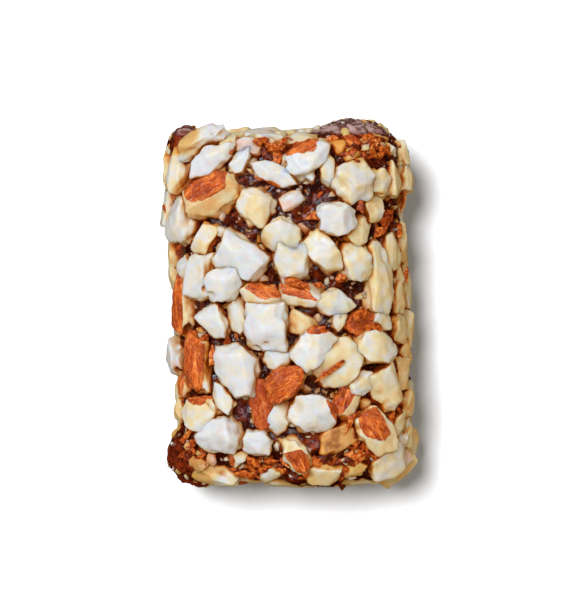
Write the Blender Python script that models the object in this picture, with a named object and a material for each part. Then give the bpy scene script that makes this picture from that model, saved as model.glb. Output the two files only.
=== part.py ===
"""A date roll: a short log of pressed date paste, rolled in roughly chopped almonds.

The log lies on its side, along Y, on the flat that its own weight has pressed. Its origin is in the middle
of that flat. Each almond piece is a block with flat chopped sides, sunk in the paste, and all of them are
fused to the log, because the roll is one solid. Metres, +Z up.
"""

import math
import random
from collections import namedtuple

import bmesh
import bpy
from mathutils import Matrix, Vector

MM = 0.001

# The roll over its almonds, whose width is at the waist.
ROLL_WIDTH = 29.4 * MM
ROLL_LENGTH = 43.6 * MM
ROLL_HEIGHT = 26.4 * MM
PRESSED_FLAT = 0.7 * MM  # how much of the almonds' height the table has pressed away underneath
LEAN = 0.042  # the log's sideways drift for each metre along it, because hands don't roll it quite square
FLARE = 0.05  # how much wider than its waist the log would be at its ends, if they weren't rounded
SIDE_POWER = 2.7  # 2 is a round cross-section, and higher is squarer
END_POWER = 7.0  # how square the log's ends are, seen from above

# The almonds.
NUT_RISE = 1.7 * MM  # how far a large piece stands out of the paste
THICKNESS_SHARE = 0.78  # a piece's thickness for its width
THICKEST = 3.6 * MM
SUNK_SHARE = 0.52  # the least share of its thickness that a piece keeps in the paste
LEAST_WIDTH = 1.9 * MM  # narrower crumbs aren't part of the solid
SHORTEST_EDGE = 0.2  # of a piece's half-size, so that corners this close become one
CORE_CUTS = 9

# A piece's outline: its corners, in half-lengths and half-widths, counter-clockwise.
OUTLINES = {
    "slab": ((-1.0, -0.8), (-0.7, -1.0), (0.9, -0.9), (1.0, 0.8), (-0.9, 1.0)),
    "kite": ((-1.0, -0.4), (-0.4, -1.0), (0.6, -0.7), (1.0, 0.1), (0.1, 1.0), (-0.7, 0.6)),
    "lens": ((-1.0, 0.0), (-0.45, -0.9), (0.4, -0.9), (1.0, 0.0), (0.35, 0.95), (-0.5, 0.8)),
    "wedge": ((-1.0, -1.0), (0.6, -0.6), (1.0, 0.0), (0.6, 0.5), (-0.9, 1.0)),
    "block": ((-1.0, -0.5), (-0.3, -1.0), (0.8, -0.8), (1.0, 0.4), (0.2, 1.0), (-0.8, 0.8)),
    "finger": ((-1.0, -0.5), (-0.6, -1.0), (0.7, -0.9), (1.0, -0.2), (0.8, 0.8), (-0.7, 1.0)),
}
LIKELY_OUTLINES = ("block", "kite", "slab", "wedge", "block", "finger", "kite", "lens")

# An almond piece: the middle of its outer face, its size and its turn about its own upright, in mm and
# degrees. lift is how much higher or lower than usual it sits. skin is the bearing and the elevation that
# its skin faces, where it has kept some of the kernel's skin, and that side is the kernel's own round one.
Nut = namedtuple("Nut", "x y length width turn outline lift skin", defaults=(0.0, None))

NUTS_ON_TOP = (
    # the far end, from the left corner to the right
    Nut(-10.8, 20.4, 5.8, 3.0, 22, "finger", -0.4),
    Nut(-7.5, 20.9, 2.5, 2.0, 95, "slab"),
    Nut(-13.9, 16.4, 5.8, 3.9, 72, "block", 0.6),
    Nut(-9.8, 17.6, 6.7, 3.5, 30, "kite", 0.4),
    Nut(-6.1, 17.6, 4.5, 2.2, 60, "lens", 0.2),
    Nut(-5.2, 19.9, 3.5, 2.5, -15, "block", -0.2),
    Nut(-1.8, 15.9, 7.0, 3.0, -24, "lens", 0.5, (-110, -16)),
    Nut(2.0, 18.2, 7.2, 4.3, 28, "kite", 0.4, (118, 34)),
    Nut(2.2, 16.6, 3.2, 2.4, -75, "wedge", 0.5),
    Nut(4.5, 16.4, 4.5, 2.2, 98, "lens", 0.3),
    Nut(2.1, 21.3, 4.8, 2.4, -5, "slab", -0.4),
    Nut(10.2, 21.0, 3.8, 2.0, -18, "lens", -1.5),
    Nut(7.6, 19.9, 2.2, 2.2, -40, "block", -1.1, (90, 80)),
    Nut(13.6, 18.2, 3.4, 2.8, 60, "block", 0.8),
    # behind the middle
    Nut(-9.8, 13.5, 7.2, 5.2, 24, "block", 0.6, (100, 44)),
    Nut(-13.8, 10.3, 6.4, 4.6, 78, "block", 0.3),
    Nut(-3.9, 11.8, 5.7, 4.6, -68, "kite", 0.4),
    Nut(0.2, 12.7, 3.3, 2.5, 35, "block"),
    Nut(7.8, 14.9, 5.4, 5.0, -60, "block", 0.5),
    Nut(11.1, 14.8, 3.9, 3.0, 82, "finger", 0.5),
    Nut(12.9, 15.2, 4.8, 3.6, 85, "slab", 0.3),
    Nut(14.3, 15.4, 3.8, 3.0, 92, "finger", 1.2),
    Nut(5.7, 10.6, 5.0, 4.3, 10, "block", 1.0),
    Nut(10.6, 11.5, 4.0, 3.6, -72, "wedge", 0.1),
    Nut(8.6, 9.1, 4.0, 3.0, 60, "block", 0.1),
    Nut(-10.9, 8.0, 5.2, 2.8, 55, "finger", 0.1),
    # across the middle
    Nut(-6.0, 5.9, 6.4, 5.0, -25, "slab", 0.6),
    Nut(-0.8, 8.4, 5.6, 4.8, -50, "kite", 0.7),
    Nut(0.3, 5.6, 5.2, 4.9, -70, "block", 0.8),
    Nut(4.1, 6.4, 6.0, 4.6, -42, "wedge", 0.3, (205, -14)),
    Nut(8.4, 5.3, 4.8, 4.2, -75, "block", 0.4),
    Nut(11.1, 3.4, 9.2, 3.7, 97, "finger", 0.5),
    Nut(13.0, 6.6, 5.4, 3.2, 95, "finger"),
    Nut(14.4, 7.9, 4.8, 3.0, 90, "slab", 0.3),
    Nut(14.1, 4.2, 2.9, 2.8, 80, "block", 0.0, (60, 40)),
    Nut(14.0, 1.2, 4.4, 3.4, 95, "block"),
    Nut(-7.8, 3.0, 5.5, 4.4, 30, "block", 1.0),
    Nut(-11.1, 3.6, 5.8, 4.2, 85, "slab", 0.4),
    Nut(-13.5, 4.7, 3.6, 2.8, 82, "lens"),
    Nut(-13.9, 0.2, 7.6, 4.6, 94, "finger", 0.2, (180, 62)),
    Nut(-6.4, -0.7, 4.9, 2.5, -76, "finger", 0.1),
    Nut(-9.2, -1.9, 5.0, 4.1, -48, "wedge", 0.2, (35, -16)),
    Nut(-3.3, 1.4, 6.4, 2.9, -14, "lens", 0.5, (60, 44)),
    Nut(1.3, 1.6, 5.0, 3.2, -12, "slab", 0.4, (110, 50)),
    Nut(5.4, 0.6, 4.6, 3.3, -12, "kite", 0.6),
    Nut(6.2, -1.2, 3.8, 2.5, -98, "wedge", 0.5),
    # before the middle
    Nut(-2.7, -2.3, 6.2, 5.3, -86, "slab", 1.0),
    Nut(-1.5, -6.0, 3.8, 3.3, -20, "block", 0.5),
    Nut(1.7, -1.9, 4.5, 3.7, -20, "wedge"),
    Nut(2.7, -4.6, 5.8, 4.2, 52, "slab", 0.9, (75, -8)),
    Nut(5.7, -6.4, 7.2, 6.0, 40, "block", 0.4),
    Nut(9.0, -1.9, 4.7, 3.1, 4, "block", 0.2, (95, 84)),
    Nut(11.4, -1.7, 3.5, 2.7, 5, "finger", 0.4),
    Nut(10.7, -4.7, 5.7, 4.5, -10, "block", 0.6),
    Nut(14.1, -2.4, 3.8, 3.0, 80, "block"),
    Nut(14.8, -5.6, 3.6, 3.2, 95, "kite"),
    Nut(14.5, -8.2, 4.2, 3.2, 85, "slab"),
    Nut(12.0, -10.1, 6.4, 5.0, -46, "wedge", 0.4, (-25, -12)),
    Nut(8.7, -8.9, 4.0, 3.2, 22, "block", 0.6),
    Nut(6.9, -11.4, 4.6, 2.8, 68, "finger", 0.3, (150, 42)),
    Nut(-6.3, -7.4, 8.0, 5.4, -58, "kite", 0.6),
    Nut(-11.8, -6.6, 7.6, 4.0, -80, "finger", 0.6, (165, 72)),
    Nut(-14.5, -5.8, 5.2, 3.6, 92, "lens", 0.6),
    Nut(-13.7, -9.4, 3.0, 2.6, 110, "block", 0.4, (180, 62)),
    Nut(-3.4, -11.4, 6.6, 3.0, -82, "finger", 0.3, (0, 90)),
    Nut(-0.5, -8.9, 5.4, 4.6, 34, "kite", 1.3, (60, 90)),
    Nut(-1.2, -13.0, 4.4, 2.7, 70, "finger", 0.2),
    # the near end
    Nut(-8.4, -10.8, 5.0, 2.7, -68, "lens", 0.3),
    Nut(-11.1, -12.6, 5.4, 4.4, -14, "block", 0.5, (100, 4)),
    Nut(-14.4, -12.2, 3.0, 2.4, 95, "finger", 0.4, (180, 20)),
    Nut(-8.5, -15.3, 6.4, 5.0, -12, "kite", 0.6),
    Nut(-4.0, -16.2, 3.9, 3.2, -15, "block", 0.6),
    Nut(-11.2, -18.9, 3.3, 2.1, 15, "kite", -1.7),
    Nut(2.7, -12.6, 6.5, 4.6, -8, "block", 0.6, (8, -14)),
    Nut(0.8, -17.8, 4.8, 3.0, -55, "block", 0.3, (-40, 58)),
    Nut(5.7, -15.6, 5.2, 3.0, 24, "finger", -0.2),
    Nut(10.4, -14.8, 6.2, 4.1, -52, "block", 0.5, (128, 48)),
    Nut(14.0, -13.8, 3.6, 2.8, 60, "lens", 0.0, (-60, 10)),
    Nut(15.0, -11.6, 3.8, 3.0, 92, "block", 0.3),
    Nut(15.2, -15.4, 3.6, 3.0, 88, "block", 0.0),
    Nut(12.5, -18.6, 5.4, 4.2, 22, "block", -0.1),
    Nut(-9.0, -21.0, 5.8, 3.0, -4, "slab", -0.3),
    Nut(-2.4, -20.7, 3.6, 2.8, 40, "kite", -0.2),
    Nut(4.1, -20.4, 4.2, 2.8, -4, "slab", -0.3),
    Nut(8.0, -19.9, 3.8, 2.6, 10, "lens", -0.4),
    Nut(-6.6, -18.2, 2.8, 2.1, 30, "wedge", 0.0, (-150, 20)),
)

# Round the sides, the ends and underneath, the pieces come in sizes, the largest first.
# Each row: the mean length in mm, how many spots are tried, and the least gap for the pieces' size.
SCATTER_SEED = 45
SCATTER_SIZES = ((6.2, 400, 0.82), (5.0, 500, 0.80), (4.2, 300, 0.80), (3.4, 260, 0.76))
TOP_LEVEL = 0.42  # where the surface faces up more than this, NUTS_ON_TOP has set every piece
END_PRESSED = 0.4  # how much deeper, in mm, the pieces on the ends are pressed in
END_SHARE = 0.9  # how many of the pieces tried on the ends stay, as the ends are a little barer
BARE_LEVEL = 0.1  # where the surface faces up more than this, the swellings below hold no scattered pieces
BARE_SWELL = 0.35 * MM
SWELL_PRESSED = 0.9  # how far the pieces round a swelling are pressed into it, as a share of its height

# Swellings of the paste up to the almonds' level, at the ends: place and reach in mm, and height in mm.
Swelling = namedtuple("Swelling", "x y reach height")
SWELLINGS = (
    Swelling(8.4, 20.4, 5.2, 2.1),
    Swelling(-13.6, 20.8, 3.2, 2.7),
    Swelling(-13.4, -19.4, 4.4, 2.8),
    Swelling(3.2, -18.4, 5.0, 1.0),
    Swelling(8.6, -17.2, 3.4, 0.9),
)

HALF_SIZE = Vector((ROLL_WIDTH, ROLL_LENGTH, ROLL_HEIGHT + PRESSED_FLAT)) / 2
MIDDLE_HEIGHT = ROLL_HEIGHT - HALF_SIZE.z


def clear_scene():
    for old in list(bpy.data.objects):
        bpy.data.objects.remove(old)


def log_reach(across, along, upright):
    """How far out of the log a point is, where 1 is its surface. The point is in half-widths and so on."""
    section = (abs(across) ** SIDE_POWER + abs(upright) ** SIDE_POWER) ** (1 / SIDE_POWER)
    return (section**END_POWER + abs(along) ** END_POWER) ** (1 / END_POWER)


def across_at(y, half):
    """The middle and the half-width of the log at a place along it."""
    return -LEAN * y, half.x * (1 + FLARE * (y / half.y) ** 2)


def log_normal(point, half):
    """The way the log's surface faces at a point on it."""
    middle, half_width = across_at(point.y, half)
    unit = [(point.x - middle) / half_width, point.y / half.y, (point.z - MIDDLE_HEIGHT) / half.z]
    step = 1e-4
    slope = []
    for axis in range(3):
        ahead, behind = list(unit), list(unit)
        ahead[axis] += step
        behind[axis] -= step
        slope.append((log_reach(*ahead) - log_reach(*behind)) / half[axis])
    return Vector(slope).normalized()


def log_point(direction, half):
    """Where a ray from the log's middle leaves it. The direction is in half-widths and so on."""
    unit = Vector(direction) / log_reach(*direction)
    y = unit.y * half.y
    middle, half_width = across_at(y, half)
    return Vector((middle + unit.x * half_width, y, unit.z * half.z + MIDDLE_HEIGHT))


def log_top(x, y, half):
    """The point of the log's surface above a place on the table, kept just inside its edge."""
    along = min(abs(y) / half.y, 0.985)
    section = (1 - along**END_POWER) ** (1 / END_POWER)
    middle, half_width = across_at(y, half)
    across = min(abs(x - middle) / half_width, 0.985 * section)
    upright = (section**SIDE_POWER - across**SIDE_POWER) ** (1 / SIDE_POWER)
    side = middle + math.copysign(across * half_width, x - middle)
    return Vector((side, math.copysign(along * half.y, y), upright * half.z + MIDDLE_HEIGHT))


def swell_at(point):
    """How far the paste has swollen out of the log's plain shape at a point of its upper half."""
    height = 0.0
    for swelling in SWELLINGS:
        away = math.hypot(point.x / MM - swelling.x, point.y / MM - swelling.y) / swelling.reach
        height = max(height, swelling.height * MM * math.exp(-(away**4)))
    upper = min(max((point.z / MIDDLE_HEIGHT - 0.3) / 0.6, 0.0), 1.0)
    return height * upper


def paste_half_size():
    return HALF_SIZE - Vector((NUT_RISE,) * 3)


def date_paste():
    """The log of date paste, as a cube whose grid is pushed out to the log's surface."""
    bm = bmesh.new()
    bmesh.ops.create_cube(bm, size=2.0)
    bmesh.ops.subdivide_edges(bm, edges=bm.edges[:], cuts=CORE_CUTS, use_grid_fill=True)
    half = paste_half_size()
    for vert in bm.verts:
        place = log_point(vert.co, half)
        vert.co = place + log_normal(place, half) * swell_at(place)
    mesh = bpy.data.meshes.new("date_roll")
    bm.to_mesh(mesh)
    bm.free()
    return mesh


def nut_seed(index):
    return random.Random(1000 + index)


def chopped_sides(nut, draw):
    """A piece's flat sides as (facing, distance), in half-lengths, half-widths and half-thicknesses."""
    corners = [(u * draw.uniform(0.88, 1.06), v * draw.uniform(0.88, 1.06)) for u, v in OUTLINES[nut.outline]]
    sides = []
    for (u0, v0), (u1, v1) in zip(corners, corners[1:] + corners[:1], strict=True):
        facing = Vector((v1 - v0, u0 - u1, 0.0)).normalized()
        distance = facing.x * u0 + facing.y * v0
        sides.append((facing + Vector((0, 0, draw.uniform(-0.02, 0.2))), distance))
    sides.append((Vector((draw.uniform(-0.22, 0.22), draw.uniform(-0.22, 0.22), 1.0)), 1.0))
    sides.append((Vector((0.0, 0.0, -1.0)), 1.0))
    bearing = draw.uniform(0, math.tau)
    for _shoulder in range(2):
        bearing += draw.uniform(1.6, 3.4)
        facing = Vector((math.cos(bearing), math.sin(bearing), draw.uniform(0.9, 1.5)))
        sides.append((facing.normalized(), draw.uniform(0.86, 1.0)))
    return sides


def skin_sides(nut, draw):
    """The kernel's own round side, as three flat ones in a fan about where the skin faces."""
    bearing, elevation = nut.skin
    turned = math.radians(bearing - nut.turn)
    sides = []
    for fan in (-28, 0, 28):
        tilt = math.radians(elevation + fan)
        facing = Vector((math.cos(turned) * math.cos(tilt), math.sin(turned) * math.cos(tilt), math.sin(tilt)))
        sides.append((facing, 0.86 + draw.uniform(-0.03, 0.03)))
    return sides


def nut_half_size(nut):
    thickness = min(THICKNESS_SHARE * nut.width * MM, THICKEST)
    return Vector((nut.length * MM / 2, nut.width * MM / 2, thickness / 2))


def nut_place(nut, outer, normal):
    """The matrix that sets a piece in the paste under a point of the log's outer surface."""
    half = nut_half_size(nut)
    rise = min(NUT_RISE, 2 * half.z * (1 - SUNK_SHARE)) + nut.lift * MM
    middle = outer + normal * (rise - half.z - NUT_RISE + swell_at(outer))
    along = Vector((math.cos(math.radians(nut.turn)), math.sin(math.radians(nut.turn)), 0.0))
    along = (along - normal * along.dot(normal)).normalized()
    return Matrix.Translation(middle) @ Matrix((along, normal.cross(along), normal)).transposed().to_4x4()


def chopped_almond(nut, draw, place):
    """A piece of almond: a cube cut down by the flat sides, then set in its place."""
    bm = bmesh.new()
    bmesh.ops.create_cube(bm, size=4.0)
    sides = chopped_sides(nut, draw)
    if nut.skin:
        sides += skin_sides(nut, draw)
    for facing, distance in sides:
        everything = bm.verts[:] + bm.edges[:] + bm.faces[:]
        on_side = facing * distance / facing.length_squared
        cut = bmesh.ops.bisect_plane(bm, geom=everything, plane_co=on_side, plane_no=facing, clear_outer=True)
        rim = [edge for edge in cut["geom_cut"] if isinstance(edge, bmesh.types.BMEdge)]
        if rim:
            bmesh.ops.edgeloop_fill(bm, edges=rim)
    bmesh.ops.remove_doubles(bm, verts=bm.verts[:], dist=SHORTEST_EDGE)
    corners = [vert.co.copy() for vert in bm.verts]
    bm.clear()
    for corner in corners:
        bm.verts.new(corner)
    bmesh.ops.convex_hull(bm, input=bm.verts[:])
    bmesh.ops.transform(bm, matrix=place @ Matrix.Diagonal((*nut_half_size(nut), 1.0)), verts=bm.verts[:])
    bmesh.ops.recalc_face_normals(bm, faces=bm.faces[:])
    mesh = bpy.data.meshes.new("chopped_almond")
    bm.to_mesh(mesh)
    bm.free()
    return mesh


def nuts_on_top():
    """Each piece set by hand, with its outer point and the way the log faces there."""
    for nut in NUTS_ON_TOP:
        outer = log_top(nut.x * MM, nut.y * MM, HALF_SIZE)
        yield nut, outer, log_normal(outer, HALF_SIZE)


def scattered_nuts(taken):
    """Pieces drawn round the sides, the ends and underneath, each clear of the ones before it."""
    draw = random.Random(SCATTER_SEED)
    for mean_length, tries, gap in SCATTER_SIZES:
        for _try in range(tries):
            direction = [draw.gauss(0, 1) for _axis in range(3)]
            length = mean_length * draw.uniform(0.82, 1.25)
            width = length * draw.uniform(0.6, 0.9)
            turn = draw.uniform(0, 360)
            outline = draw.choice(LIKELY_OUTLINES)
            has_skin = draw.random() < 0.2
            skin_bearing = draw.uniform(0, 360)
            skin_elevation = draw.uniform(-15, 90)
            lift = draw.uniform(-0.7, 0.1)
            chance = draw.random()
            outer = log_point(direction, HALF_SIZE)
            normal = log_normal(outer, HALF_SIZE)
            lift -= SWELL_PRESSED * swell_at(outer) / MM
            if abs(normal.y) > 0.7:
                lift -= END_PRESSED
            size = (length + width) / 2 * MM
            if normal.z > TOP_LEVEL or (abs(normal.y) > 0.7 and chance > END_SHARE):
                continue
            if normal.z > BARE_LEVEL and swell_at(outer) > BARE_SWELL:
                continue
            if any((outer - other).length < gap * (size + other_size) / 2 for other, other_size in taken):
                continue
            skin = (skin_bearing, skin_elevation) if has_skin else None
            nut = Nut(outer.x / MM, outer.y / MM, length, width, turn, outline, lift, skin)
            taken.append((outer, size))
            yield nut, outer, normal


def almonds():
    """Every piece of almond that the solid has, as meshes in place."""
    down = Vector((0.0, 0.0, -1.0))
    placed = list(nuts_on_top())
    placed.append((Nut(0.0, 0.0, 6.4, 5.0, 20, "block"), log_point((0, 0, -1), HALF_SIZE), down))
    taken = [(outer, (nut.length + nut.width) / 2 * MM) for nut, outer, _normal in placed]
    placed += scattered_nuts(taken)
    for index, (nut, outer, normal) in enumerate(placed):
        if nut.width * MM >= LEAST_WIDTH:
            yield chopped_almond(nut, nut_seed(index), nut_place(nut, outer, normal))


def colour_material(name, colour, roughness):
    material = bpy.data.materials.new(name)
    material.use_nodes = True
    surface = material.node_tree.nodes["Principled BSDF"]
    surface.inputs["Base Color"].default_value = (*colour, 1.0)
    surface.inputs["Roughness"].default_value = roughness
    surface.inputs["Metallic"].default_value = 0.0
    return material


def table_cutter():
    """What the table presses away: everything below the roll's flat."""
    bm = bmesh.new()
    deep = 4 * PRESSED_FLAT
    bmesh.ops.create_cube(bm, size=1.0)
    bmesh.ops.scale(bm, vec=(2 * ROLL_WIDTH, 2 * ROLL_LENGTH, deep), verts=bm.verts[:])
    bmesh.ops.translate(bm, vec=(0, 0, -deep / 2), verts=bm.verts[:])
    mesh = bpy.data.meshes.new("table")
    bm.to_mesh(mesh)
    bm.free()
    return bpy.data.objects.new("table", mesh)


def keep_main_body(mesh):
    """Drops what isn't joined to the roll, and fills the hollows that fusing has sealed."""
    bm = bmesh.new()
    bm.from_mesh(mesh)
    unseen = set(bm.verts)
    islands = []
    while unseen:
        island, edge_of = set(), [unseen.pop()]
        while edge_of:
            vert = edge_of.pop()
            island.add(vert)
            for edge in vert.link_edges:
                other = edge.other_vert(vert)
                if other in unseen:
                    unseen.discard(other)
                    edge_of.append(other)
        islands.append(island)
    islands.sort(key=len, reverse=True)
    scraps = [vert for island in islands[1:] for vert in island]
    bmesh.ops.delete(bm, geom=scraps, context="VERTS")
    bmesh.ops.triangulate(bm, faces=bm.faces[:])
    bm.to_mesh(mesh)
    bm.free()


def fuse(roll, pieces):
    """Joins the almonds to the roll, presses its flat, and removes the loose pieces."""
    bpy.context.scene.collection.children.link(pieces)
    table = table_cutter()
    bpy.context.scene.collection.objects.link(table)
    joining = roll.modifiers.new("join_almonds", "BOOLEAN")
    joining.operand_type = "COLLECTION"
    joining.collection = pieces
    joining.operation = "UNION"
    joining.solver = "EXACT"
    pressing = roll.modifiers.new("press_flat", "BOOLEAN")
    pressing.object = table
    pressing.operation = "DIFFERENCE"
    pressing.solver = "EXACT"
    graph = bpy.context.evaluated_depsgraph_get()
    fused = bpy.data.meshes.new_from_object(roll.evaluated_get(graph))
    roll.modifiers.clear()
    roll.data = fused
    for piece in [*pieces.objects, table]:
        bpy.data.objects.remove(piece)
    bpy.data.collections.remove(pieces)
    keep_main_body(fused)


def main():
    clear_scene()
    roll = bpy.data.objects.new("date_roll", date_paste())
    bpy.context.scene.collection.objects.link(roll)
    pieces = bpy.data.collections.new("almonds")
    for mesh in almonds():
        pieces.objects.link(bpy.data.objects.new("chopped_almond", mesh))
    fuse(roll, pieces)
    roll.data.materials.clear()
    roll.data.materials.append(colour_material("chopped_almond", (0.80, 0.68, 0.48), 0.5))


main()
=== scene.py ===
"""Dresses the date roll: glossy date paste, chopped almonds with and without skin, crumbs and loose flakes.

Sizes are in millimetres where a name says so, and otherwise in metres. +Y runs along the roll, and +Z is up.
"""

import math
import random
from collections import namedtuple

import bmesh
import bpy
import numpy as np
from mathutils import Matrix, Vector
from mathutils.bvhtree import BVHTree


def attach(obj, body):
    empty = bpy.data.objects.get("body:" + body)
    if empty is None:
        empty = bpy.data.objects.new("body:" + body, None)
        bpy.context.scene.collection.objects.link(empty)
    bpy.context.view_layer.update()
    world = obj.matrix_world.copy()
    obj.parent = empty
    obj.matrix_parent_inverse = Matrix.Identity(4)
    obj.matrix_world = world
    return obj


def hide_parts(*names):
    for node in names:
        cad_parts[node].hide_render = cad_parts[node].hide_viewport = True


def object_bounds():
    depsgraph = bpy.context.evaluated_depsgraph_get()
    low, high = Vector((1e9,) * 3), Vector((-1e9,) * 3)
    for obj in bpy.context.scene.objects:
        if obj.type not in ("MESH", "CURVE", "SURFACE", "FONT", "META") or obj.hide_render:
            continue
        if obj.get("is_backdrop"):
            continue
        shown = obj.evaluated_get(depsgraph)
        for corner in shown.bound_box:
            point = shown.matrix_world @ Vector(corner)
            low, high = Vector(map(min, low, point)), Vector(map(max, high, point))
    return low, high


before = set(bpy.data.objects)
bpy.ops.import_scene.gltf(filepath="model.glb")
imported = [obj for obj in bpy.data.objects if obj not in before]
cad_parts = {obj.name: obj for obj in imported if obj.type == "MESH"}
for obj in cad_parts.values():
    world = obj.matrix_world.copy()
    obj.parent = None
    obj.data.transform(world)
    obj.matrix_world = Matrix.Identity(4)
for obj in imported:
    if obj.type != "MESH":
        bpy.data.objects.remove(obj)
cad_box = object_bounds()

# The date paste. Stoned dates are minced to a sticky pulp and rolled by hand into a short log, which its own
# weight presses flat underneath. The pulp is dark brown, wet and stringy, and it shows where the almonds
# leave gaps: at the far right corner, in the valleys between the pieces, and along the near end.

MM = 0.001
ROLL_WIDTH = 29.4 * MM
ROLL_LENGTH = 43.6 * MM
ROLL_HEIGHT = 26.4 * MM
PRESSED_FLAT = 0.7 * MM
LEAN = 0.042  # how far the log drifts sideways for each step along it
FLARE = 0.05  # how much wider its ends are than its waist
SIDE_POWER = 2.7  # how square it is across, where 2 is round
END_POWER = 7.0  # how sharply its sides turn in to the ends
NUT_RISE = 1.7 * MM  # how far the almonds stand out of the paste
OFF_THE_TABLE = 0.02 * MM  # nothing comes lower than this

HALF_SIZE = np.array((ROLL_WIDTH, ROLL_LENGTH, ROLL_HEIGHT + PRESSED_FLAT)) / 2
MIDDLE_HEIGHT = ROLL_HEIGHT - HALF_SIZE[2]
PASTE_HALF_SIZE = HALF_SIZE - NUT_RISE

# Where the paste has swollen out bare, with the reach and the height, all in mm.
Swelling = namedtuple("Swelling", "x y reach height")
SWELLING_FOOT, SWELLING_RISE = 0.3, 0.6  # where it comes up, in shares of the height of the log's middle
SWELLINGS = (
    Swelling(8.4, 20.4, 5.2, 2.1),
    Swelling(-13.6, 20.8, 3.2, 2.7),
    Swelling(-13.4, -19.4, 4.4, 2.8),
    Swelling(3.2, -18.4, 5.0, 1.0),
    Swelling(8.6, -17.2, 3.4, 0.9),
)


def log_reach(across, along, upright):
    """How far out of the log a point is, where 1 is its surface, for a point in half-widths and so on."""
    section = (np.abs(across) ** SIDE_POWER + np.abs(upright) ** SIDE_POWER) ** (1 / SIDE_POWER)
    return (section**END_POWER + np.abs(along) ** END_POWER) ** (1 / END_POWER)


def across_at(y, half):
    """The middle and the half-width of the log at a place along it: it drifts sideways, and has a waist."""
    return -LEAN * y, half[0] * (1 + FLARE * (y / half[1]) ** 2)


def in_half_sizes(points, half):
    """Points as half-widths, half-lengths and half-heights away from the log's middle."""
    middle, half_width = across_at(points[..., 1], half)
    upright = (points[..., 2] - MIDDLE_HEIGHT) / half[2]
    return (points[..., 0] - middle) / half_width, points[..., 1] / half[1], upright


def log_normal(points, half):
    """The way the log's surface faces at points on it."""
    unit = in_half_sizes(points, half)
    step = 1e-4
    slope = []
    for axis in range(3):
        ahead = [value + step * (i == axis) for i, value in enumerate(unit)]
        behind = [value - step * (i == axis) for i, value in enumerate(unit)]
        slope.append((log_reach(*ahead) - log_reach(*behind)) / half[axis])
    normal = np.stack(slope, axis=-1)
    return normal / np.linalg.norm(normal, axis=-1, keepdims=True)


def log_point(directions, half):
    """Where rays from the log's middle leave it. The directions are in half-widths and so on."""
    directions = np.asarray(directions, float)
    unit = directions / log_reach(*np.moveaxis(directions, -1, 0))[..., None]
    y = unit[..., 1] * half[1]
    middle, half_width = across_at(y, half)
    return np.stack((middle + unit[..., 0] * half_width, y, unit[..., 2] * half[2] + MIDDLE_HEIGHT), axis=-1)


def swell_at(points):
    """How far the paste has swollen out of the log's plain shape, on its upper half."""
    height = np.zeros(points.shape[:-1])
    for swelling in SWELLINGS:
        away = np.hypot(points[..., 0] / MM - swelling.x, points[..., 1] / MM - swelling.y) / swelling.reach
        height = np.maximum(height, swelling.height * MM * np.exp(-(away**4)))
    return height * np.clip((points[..., 2] / MIDDLE_HEIGHT - SWELLING_FOOT) / SWELLING_RISE, 0, 1)


def unevenness(points, size, seed=0):
    """Smooth random unevenness from -1 to 1, whose lumps are about as large as size."""
    place = np.asarray(points) / size
    cell = np.floor(place).astype(np.int64)
    share = place - cell
    share = share * share * (3 - 2 * share)
    total = np.zeros(place.shape[:-1])
    for corner in np.ndindex(2, 2, 2):
        x, y, z = (cell[..., axis] + corner[axis] for axis in range(3))
        mixed = (x * 73856093) ^ (y * 19349663) ^ (z * 83492791) ^ (seed * 2654435761 + 97)
        mixed = (mixed ^ (mixed >> 13)) * 1274126177 & 0x7FFFFFFF
        value = ((mixed ^ (mixed >> 16)) & 0xFFFF) / 32767.5 - 1
        weight = np.ones_like(total)
        for axis in range(3):
            weight *= share[..., axis] if corner[axis] else 1 - share[..., axis]
        total += value * weight
    return total


def piece_of(name, points, faces, smooth_angle=None):
    """A named piece made of a mesh, on the roll's one body."""
    mesh = bpy.data.meshes.new(name)
    mesh.from_pydata(np.asarray(points).tolist(), [], np.asarray(faces).tolist())
    mesh.shade_smooth()
    if smooth_angle:
        mesh.set_sharp_from_angle(angle=smooth_angle)
    piece = bpy.data.objects.new(name, mesh)
    bpy.context.scene.collection.objects.link(piece)
    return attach(piece, "root")


def colour(red, green, blue):
    """A screen colour, 0 to 255, as the shader wants it."""

    def light(value):
        part = value / 255
        return part / 12.92 if part <= 0.04045 else ((part + 0.055) / 1.055) ** 2.4

    return light(red), light(green), light(blue), 1.0


def box_grid(cuts):
    """A box's grid of points from -1 to 1, with its faces, whose points are shared along the edges."""
    index, points, faces = {}, [], []

    def corner(place):
        if place not in index:
            index[place] = len(points)
            points.append([2 * place[axis] / cuts[axis] - 1 for axis in range(3)])
        return index[place]

    for axis in range(3):
        first, second = (axis + 1) % 3, (axis + 2) % 3
        for side in (0, cuts[axis]):
            for i in range(cuts[first]):
                for j in range(cuts[second]):
                    square = []
                    for step_i, step_j in ((0, 0), (1, 0), (1, 1), (0, 1)):
                        place = [0, 0, 0]
                        place[axis], place[first], place[second] = side, i + step_i, j + step_j
                        square.append(corner(tuple(place)))
                    faces.append(square if side else square[::-1])
    return np.array(points), np.array(faces)


def shader_node(material, kind, inputs=None, **settings):
    """A node of a material, whose inputs are plain values or other nodes' outputs."""
    node = material.node_tree.nodes.new(kind)
    for name, value in settings.items():
        setattr(node, name, value)
    for name, value in (inputs or {}).items():
        if isinstance(value, bpy.types.NodeSocket):
            material.node_tree.links.new(value, node.inputs[name])
        else:
            node.inputs[name].default_value = value
    return node


def ramp(material, factor, *stops):
    """Colours run together along a factor, from (where, colour) stops."""
    node = shader_node(material, "ShaderNodeValToRGB", {"Fac": factor})
    elements = node.color_ramp.elements
    while len(elements) < len(stops):
        elements.new(0.5)
    for element, (where, shade) in zip(elements, stops, strict=True):
        element.position, element.color = where, shade
    return node.outputs["Color"]


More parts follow.
